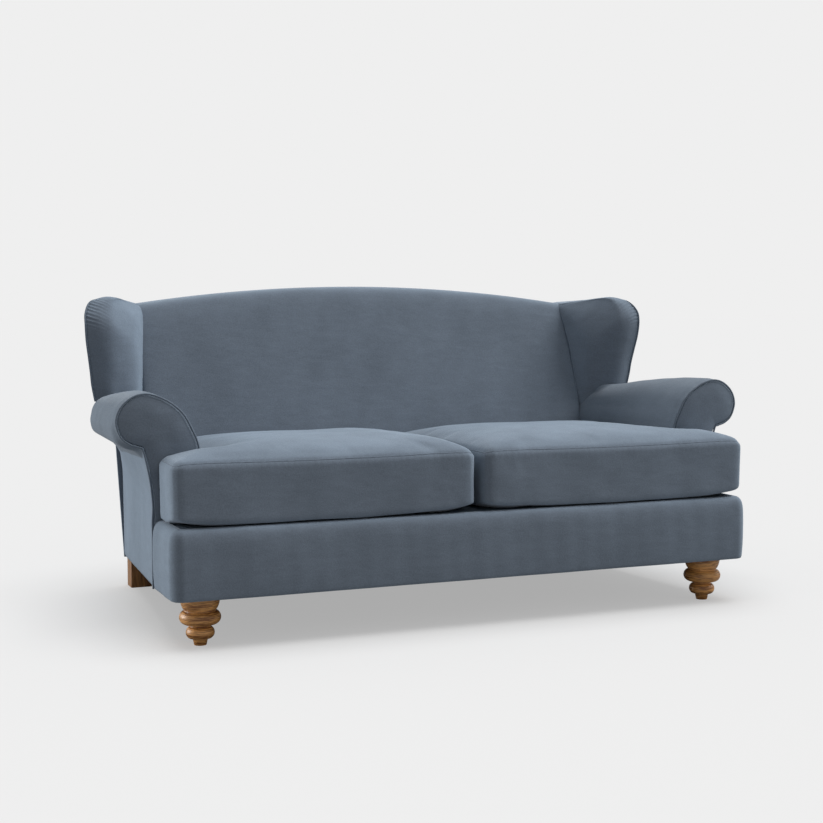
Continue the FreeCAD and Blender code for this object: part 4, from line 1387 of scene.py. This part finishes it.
@dataclass(frozen=True)
class Cushion:
    """T-shaped seat cushion with a seam round its upper edge.

    Attributes:
        seam: Height of the upper seam in the middle of the front.
        crown: Height that the middle of the top reaches.
        radius: Radius of the front corners.
        voxel: Size of the remesh.
        pressure: Pressure of the cloth simulation.
        limit: Furthest that the simulation may move a point.
        rear_drop: How much lower the seam lies at the rear.
    """

    lines: Lines
    seam: float = 0.482
    crown: float = 0.528
    radius: float = 0.030
    voxel: float = 0.0105
    pressure: float = 4.0
    limit: float = 0.010
    rear_drop: float = 0.026

    def plan(self) -> Array:
        """Outline of the right cushion from above, at the height of its seam."""
        lines = self.lines
        inner = lines.arm_inner - 0.004
        rear = float(lines.inside_back(self.seam)) - 0.013
        corners = [((0.004, lines.front + 0.003), self.radius),
                   ((lines.base - 0.004, lines.front + 0.001), self.radius),
                   ((lines.base - 0.004, lines.arm_front - 0.006), 0.022),
                   ((inner, lines.arm_front - 0.006), 0.012),
                   ((inner, rear), 0.030), ((0.004, rear), 0.026)]
        points = []
        for k, (corner, radius) in enumerate(corners):
            here = np.array(corner)
            back = np.array(corners[k - 1][0]) - here
            ahead = np.array(corners[(k + 1) % len(corners)][0]) - here
            back /= np.linalg.norm(back)
            ahead /= np.linalg.norm(ahead)
            centre = here + radius * (back + ahead)
            for t in np.linspace(0, pi / 2, 8):
                points.append(centre - radius * (ahead * cos(t) + back * sin(t)))
        return np.array(points)

    def seam_height(self, x: Array | float, y: Array | float) -> Array:
        """Height of the upper seam at a place on the plan."""
        middle = self.lines.base / 2
        offset = np.abs(np.asarray(x, float) - middle)
        droop = 0.010 * np.exp(-np.maximum(middle - offset, 0.0) / 0.035)
        rear = self.rear_drop * smooth_step(y, -0.02, 0.25)
        return self.seam - 0.001 + 0.006 * (offset / middle) ** 2 - droop - rear

    def inset(self, places: Array) -> tuple[Array, Array]:
        """Distance from the outline and distance along it.

        Args:
            places: Points (x, y).

        Returns:
            The distance to the outline and the distance along it, for each point.
        """
        a = self.plan()
        b = np.roll(a, -1, axis=0)
        edge = b - a
        size = np.linalg.norm(edge, axis=1)
        along = np.concatenate([[0.0], np.cumsum(size)[:-1]])
        best = np.full(len(places), 9.0)
        where = np.zeros(len(places))
        for k in range(len(a)):
            t = np.clip((places - a[k]) @ edge[k] / size[k] ** 2, 0.0, 1.0)
            gap = np.linalg.norm(places - a[k] - t[:, None] * edge[k], axis=1)
            nearer = gap < best
            best[nearer] = gap[nearer]
            where[nearer] = along[k] + t[nearer] * size[k]
        return best, where

    def blank(self) -> Object:
        """Cushion before it is filled: the plan drawn up and crowned."""
        lines = self.lines
        plan = self.plan()
        low, high = lines.deck + 0.003, self.seam
        bm = bmesh.new()
        loops = [[bm.verts.new((x, y, z)) for x, y in plan] for z in (low, high)]
        bm.faces.new(loops[0])
        bm.faces.new(loops[1])
        for k in range(len(plan)):
            n = (k + 1) % len(plan)
            bm.faces.new((loops[0][k], loops[0][n], loops[1][n], loops[1][k]))
        bmesh.ops.recalc_face_normals(bm, faces=bm.faces)
        mesh = bpy.data.meshes.new("seat_cushion_cover_right")
        bm.to_mesh(mesh)
        bm.free()
        obj = bpy.data.objects.new(mesh.name, mesh)
        bpy.context.scene.collection.objects.link(obj)
        remesh = obj.modifiers.new("even", "REMESH")
        remesh.mode = "VOXEL"
        remesh.voxel_size = self.voxel
        apply_modifiers(obj)
        co = read(obj)
        inset, _ = self.inset(co[:, :2])
        up = np.clip((co[:, 2] - low) / (high - low), 0.0, 1.0)
        dome = np.sin(pi / 2 * np.clip(inset / 0.24, 0.0, 1.0)) ** 0.75
        dome = dome * (1.0 - 0.55 * smooth_step(co[:, 1], -0.30, 0.20))
        seam = self.seam_height(co[:, 0], co[:, 1]) - self.seam
        fade = np.where(co[:, 1] > 0.0, 0.30, 0.12)
        co[:, 2] += up * (seam * np.exp(-inset / fade) + (self.crown - self.seam - 0.008) * dome)
        front = smooth_step(-co[:, 1], -lines.front - 0.12, -lines.front)
        middle = lines.base / 2
        ends = (np.abs(co[:, 0] - middle) / middle) ** 4
        co[:, 2] += (1 - up) * 0.019 * ends * front
        lean = smooth_step(co[:, 1], 0.0, 0.22) * 0.336
        co[:, 1] += lean * (np.minimum(co[:, 2], self.seam + 0.02) - self.seam)
        write(obj, co)
        return obj

    def fill(self, obj: Object) -> None:
        """Blow the cover up with a short cloth simulation."""
        before = read(obj)
        cloth = obj.modifiers.new("filling", "CLOTH")
        cloth.settings.use_pressure = True
        cloth.settings.uniform_pressure_force = self.pressure
        cloth.settings.effector_weights.gravity = 0.0
        cloth.settings.quality = 5
        cloth.settings.mass = 0.3
        cloth.settings.tension_stiffness = 25.0
        cloth.settings.compression_stiffness = 25.0
        cloth.settings.bending_stiffness = 1.5
        cloth.point_cache.frame_start = 1
        cloth.point_cache.frame_end = 20
        for frame in range(1, 21):
            bpy.context.scene.frame_set(frame)
        apply_modifiers(obj)
        bpy.context.scene.frame_set(1)
        after = read(obj)
        move = after - before
        far = np.linalg.norm(move, axis=1, keepdims=True)
        log.info("filling moved the cover by up to %.1f mm", 1000 * float(far.max()))
        share = 0.6 * np.minimum(1.0, self.limit / np.maximum(0.6 * far, 1e-9))
        write(obj, before + move * share)
        finer = obj.modifiers.new("finer", "SUBSURF")
        finer.levels = 1
        apply_modifiers(obj)

    def sew(self, obj: Object, seed: int) -> None:
        """Keep the cover clear of its neighbours and draw in its seams."""
        lines = self.lines
        co = read(obj)
        normal = read(obj, "normal")
        inset, along = self.inset(co[:, :2])
        outside = np.abs(normal[:, 2]) < 0.75
        edge = np.exp(-inset / 0.02)
        for height, depth, pitch in ((self.seam_height(co[:, 0], co[:, 1]), 0.0034, 0.019),
                                     (np.full(len(co), lines.deck + 0.012), 0.0010, 0.031)):
            line = np.exp(-((co[:, 2] - height) / 0.0050) ** 2) * edge
            pucker = np.sin(along * 2 * pi / pitch + 1.7 * np.sin(along * 9.0 + seed))
            beside = np.exp(-((co[:, 2] - height) / 0.018) ** 2) * edge
            co -= normal * (depth * line + 0.12 * depth * pucker * beside)[:, None]
        co += normal * (0.0016 * ripples(co, 0.26, seed))[:, None]
        co[:, 2] = np.maximum(co[:, 2], lines.deck + 0.0003)
        co[:, 0] = np.maximum(co[:, 0], 0.0008)
        ear = co[:, 1] > lines.arm_front
        co[ear, 0] = np.minimum(co[ear, 0], lines.arm_inner - 0.0005)
        beyond = (co[:, 0] > lines.arm_inner + 0.001) & outside & (co[:, 1] > -0.36)
        co[beyond, 1] = np.minimum(co[beyond, 1], lines.arm_front - self.gap)
        rear = lines.inside_back(np.minimum(co[:, 2], 0.52)) - 0.0103
        co[:, 1] = np.minimum(co[:, 1], rear)
        write(obj, co)

    @property
    def gap(self) -> float:
        """Distance that the ears keep from the arm fronts."""
        return 0.0075

    def seam_cord(self, obj: Object, name: str) -> Object:
        """Fine welt in the upper seam, laid on the finished cover."""
        plan = even(np.vstack([self.plan(), self.plan()[:1]]), 420, endpoint=False)
        graph = bpy.context.evaluated_depsgraph_get()
        solid = obj.evaluated_get(graph)
        points = []
        for k, (x, y) in enumerate(plan):
            ahead = plan[(k + 1) % len(plan)] - plan[k - 1]
            out = np.array([ahead[1], -ahead[0]]) / np.linalg.norm(ahead)
            height = float(self.seam_height(x, y))
            start = Vector((x + out[0] * 0.05, y + out[1] * 0.05, height))
            hit, place, _, _ = solid.ray_cast(start, Vector((-out[0], -out[1], 0.0)),
                                              distance=0.12)
            if hit:
                points.append(np.array(place) - 0.0006 * np.append(out, 0.0))
        log.info("%s: %d points", name, len(points))
        line = np.array(points)
        smooth = (np.roll(line, 1, 0) + 2 * line + np.roll(line, -1, 0)) / 4
        smooth[:, 2] += 0.0006 * ripples(smooth, 0.030, 17)
        return PIPING().bake(path_object(smooth, closed=True), name, Radius=0.0013,
                             Finish=material("piping"))

    def zip(self, side: Side) -> None:
        """Tape and teeth across the rear of a cushion."""
        tape_low, tape_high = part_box(f"cushion_zip_{side.word}")
        x = np.linspace(tape_low.x, tape_high.x, 120)[None]
        z = np.linspace(tape_low.z, tape_high.z, 9)[:, None]
        fall = self.lines.inside_back(z) - 0.010
        rise = 0.0014 * (1 - np.abs(np.linspace(-1, 1, 9)[:, None]) ** 6)
        face = np.stack([x + 0 * z, fall + rise + 0 * x, z + 0 * x], -1)
        back = np.stack([x + 0 * z, fall + 0.0001 + 0 * x, z + 0 * x], -1)
        tape = slab(f"zip_cloth_{side.word}", face, back)
        body = f"cushion_{side.word}"
        settle(tape, body, "zip_tape", material("zip_tape"), f"cushion_zip_{side.word}")
        middle = (tape_low.z + tape_high.z) / 2
        line = np.column_stack([np.linspace(tape_low.x + 0.004, tape_high.x - 0.004, 60),
                                np.full(60, float(self.lines.inside_back(middle)) - 0.0088),
                                np.full(60, middle)])
        teeth = ROWS().bake(path_object(line), f"zip_teeth_{side.word}", Pitch=0.0032,
                            Length=0.0018, Width=0.0045, Height=0.0045,
                            Finish=material("zip_metal"))
        settle(teeth, body, "zip_metal", material("zip_metal"))

    def build(self) -> None:
        """Make both cushions with their seams and zips."""
        right = self.blank()
        self.fill(right)
        left = mirrored(right, "seat_cushion_cover_left")
        flip(left)
        for obj, side, seed in ((right, Side.RIGHT, 3), (left, Side.LEFT, 8)):
            self.sew(obj, seed)
            cord = self.seam_cord(obj, f"seam_cord_{side.word}")
            body = f"cushion_{side.word}"
            if side is Side.LEFT:
                flip(obj)
                flip(cord)
            settle(obj, body, "cushion_velvet", material("cushion_velvet"),
                   f"seat_cushion_{side.word}", fill=0.85)
            settle(cord, body, "cushion_velvet", material("piping"))
            self.zip(side)


def flip(obj: Object) -> None:
    """Mirror a piece across the middle of the sofa in place."""
    co = read(obj)
    co[:, 0] *= -1
    write(obj, co)
    obj.data.flip_normals()


def read(obj: Object, what: str = "co") -> Array:
    """Vertex places or normals of an object."""
    values = np.empty(len(obj.data.vertices) * 3, np.float32)
    obj.data.vertices.foreach_get(what, values)
    return values.reshape(-1, 3).astype(float)


def write(obj: Object, places: Array) -> None:
    """Set the vertex places of an object."""
    obj.data.vertices.foreach_set("co", places.astype(np.float32).ravel())
    obj.data.update()


def apply_modifiers(obj: Object) -> None:
    """Bake the modifiers of an object into its mesh."""
    bpy.context.view_layer.update()
    graph = bpy.context.evaluated_depsgraph_get()
    mesh = bpy.data.meshes.new_from_object(obj.evaluated_get(graph))
    mesh.name = obj.name
    obj.modifiers.clear()
    obj.data = mesh
    mesh.polygons.foreach_set("use_smooth", [True] * len(mesh.polygons))


# ---- carried-over nodes ------------------------------------------------------------------


NODE_SLOTS = {
    "front_foot": "turned_oak", "rear_leg": "turned_oak", "wing_board": "frame_board",
    "arm_post": "frame_board", "hanger_bolts": "steel", "flange_nuts": "steel",
    "seat_springs": "steel", "spring_clips": "steel", "back_webbing": "webbing",
    "zip_slider": "zip_metal"}

MADE: dict[str, Material] = {}
TREES: dict[str, GeometryTree] = {}


def material(slot: str) -> Material:
    """The material of a slot, built on first use."""
    if slot not in MADE:
        MADE[slot] = FINISHES[slot].material()
    return MADE[slot]


def PIPING() -> GeometryTree:
    """The covered-cord tree."""
    return TREES.setdefault("cord", TREES.get("cord") or piping_tree())


def ROWS() -> GeometryTree:
    """The row-of-blocks tree."""
    return TREES.setdefault("rows", TREES.get("rows") or row_tree())


def dress_nodes(nodes: dict[str, Object]) -> None:
    """Give every carried-over node its finish."""
    for name, obj in nodes.items():
        slot = next((s for stem, s in NODE_SLOTS.items() if name.startswith(stem)),
                    "frame_timber")
        finish = DARK_OAK() if name.startswith("rear_leg") else material(slot)
        if not obj.material_slots:
            obj.data.materials.append(finish)
        for place in obj.material_slots:
            place.material = finish


def DARK_OAK() -> Material:
    """Browner finish of the rear legs."""
    if "dark" not in MADE:
        MADE["dark"] = Wood("brown oak", (0.40, 0.19, 0.065, 1.0), 0.55,
                            dark=(0.19, 0.08, 0.024, 1.0), coat=0.15).material()
    return MADE["dark"]


# ---- camera, light and floor -------------------------------------------------------------


@dataclass(frozen=True)
class Studio:
    """Camera, lamps, background and floor.

    Attributes:
        pale: Linear value of the background.
        sky: Strength of the ambient light.
        key: Strength of the high light from the right.
        fill: Strength of the low light from behind on the left.
        overhead: Strength of the light that only the floor receives.
        bare: Reflectance of the floor.
        lift: Glow of the floor, which keeps its shadows soft and grey.
    """

    pale: float = 0.863
    sky: float = 0.40
    key: float = 2.65
    fill: float = 1.80
    overhead: float = 2.50
    bare: float = 0.3855
    lift: float = 0.402

    def build(self) -> None:
        """Set everything up."""
        scene = bpy.context.scene
        scene.view_settings.view_transform = "Standard"
        data = bpy.data.cameras.new("camera")
        data.lens = 64.81
        data.sensor_width = 36.0
        camera = bpy.data.objects.new("camera", data)
        camera.location = (-1.7413, -4.1716, 0.9002)
        camera.rotation_euler = (pi / 2 - 0.0751, 0.0, -0.3962)
        scene.collection.objects.link(camera)
        scene.camera = camera
        self.world(scene)
        ground = self.floor()
        for name, power, way, spread, for_floor in (
                ("key", self.key, (0.68, -0.12, 0.72), 32, False),
                ("fill", self.fill, (-0.80, 0.55, 0.25), 32, False),
                ("overhead", self.overhead, (0.04, -0.02, 1.0), 50, True)):
            lamp = bpy.data.lights.new(name, "SUN")
            lamp.energy = power
            lamp.angle = radians(spread)
            holder = bpy.data.objects.new(name, lamp)
            holder.rotation_euler = Vector(way).to_track_quat("Z", "Y").to_euler()
            scene.collection.objects.link(holder)
            reach = bpy.data.collections.new(f"{name} reach")
            reach.objects.link(ground)
            holder.light_linking.receiver_collection = reach
            if not for_floor:
                reach.collection_objects[0].light_linking.link_state = "EXCLUDE"

    def world(self, scene: bpy.types.Scene) -> None:
        """Pale background for the camera and softer light for everything else."""
        world = bpy.data.worlds.new("studio")
        world.use_nodes = True
        tree = world.node_tree
        back = tree.nodes["Background"]
        rays = tree.nodes.new("ShaderNodeLightPath")
        seen = tree.nodes.new("ShaderNodeMath")
        seen.operation = "MAXIMUM"
        level = tree.nodes.new("ShaderNodeMapRange")
        level.inputs["To Min"].default_value = self.sky
        level.inputs["To Max"].default_value = self.pale
        tree.links.new(rays.outputs["Is Camera Ray"], seen.inputs[0])
        tree.links.new(rays.outputs["Is Transmission Ray"], seen.inputs[1])
        tree.links.new(seen.outputs[0], level.inputs["Value"])
        tree.links.new(level.outputs["Result"], back.inputs["Strength"])
        back.inputs["Color"].default_value = (1.0, 1.0, 1.0, 1.0)
        scene.world = world

    def floor(self) -> Object:
        """Plain pale floor that keeps the shadow."""
        size = 60.0
        corners = np.array([(-size, -size, 0), (size, -size, 0), (size, size, 0),
                            (-size, size, 0)], float)
        obj = new_object("floor", corners, [(0, 1, 2, 3)])
        made = bpy.data.materials.new("floor")
        made.use_nodes = True
        tree = made.node_tree
        shader = tree.nodes["Principled BSDF"]
        shader.inputs["Roughness"].default_value = 1.0
        shader.inputs["Specular IOR Level"].default_value = 0.0
        rays = tree.nodes.new("ShaderNodeLightPath")
        shade = tree.nodes.new("ShaderNodeMix")
        shade.data_type = "RGBA"
        shade.inputs[6].default_value = (0.30, 0.30, 0.30, 1.0)
        shade.inputs[7].default_value = (self.bare, self.bare, self.bare, 1.0)
        glow = tree.nodes.new("ShaderNodeMath")
        glow.operation = "MULTIPLY"
        glow.inputs[1].default_value = self.lift
        shader.inputs["Emission Color"].default_value = (1.0, 1.0, 1.0, 1.0)
        tree.links.new(rays.outputs["Is Camera Ray"], shade.inputs["Factor"])
        tree.links.new(rays.outputs["Is Camera Ray"], glow.inputs[0])
        tree.links.new(shade.outputs[2], shader.inputs["Base Color"])
        tree.links.new(glow.outputs[0], shader.inputs["Emission Strength"])
        obj.data.materials.append(made)
        return obj


def main() -> None:
    """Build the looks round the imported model."""
    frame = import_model()
    lines = Lines.read()
    Studio().build()
    dress_nodes(frame["nodes"])
    for part in (Back(lines), Wing(lines), Arm(lines), Base(lines), Cushion(lines)):
        part.build()


if __name__ == "__main__":
    logging.basicConfig(level=logging.INFO, format="%(name)s: %(message)s")
    main()
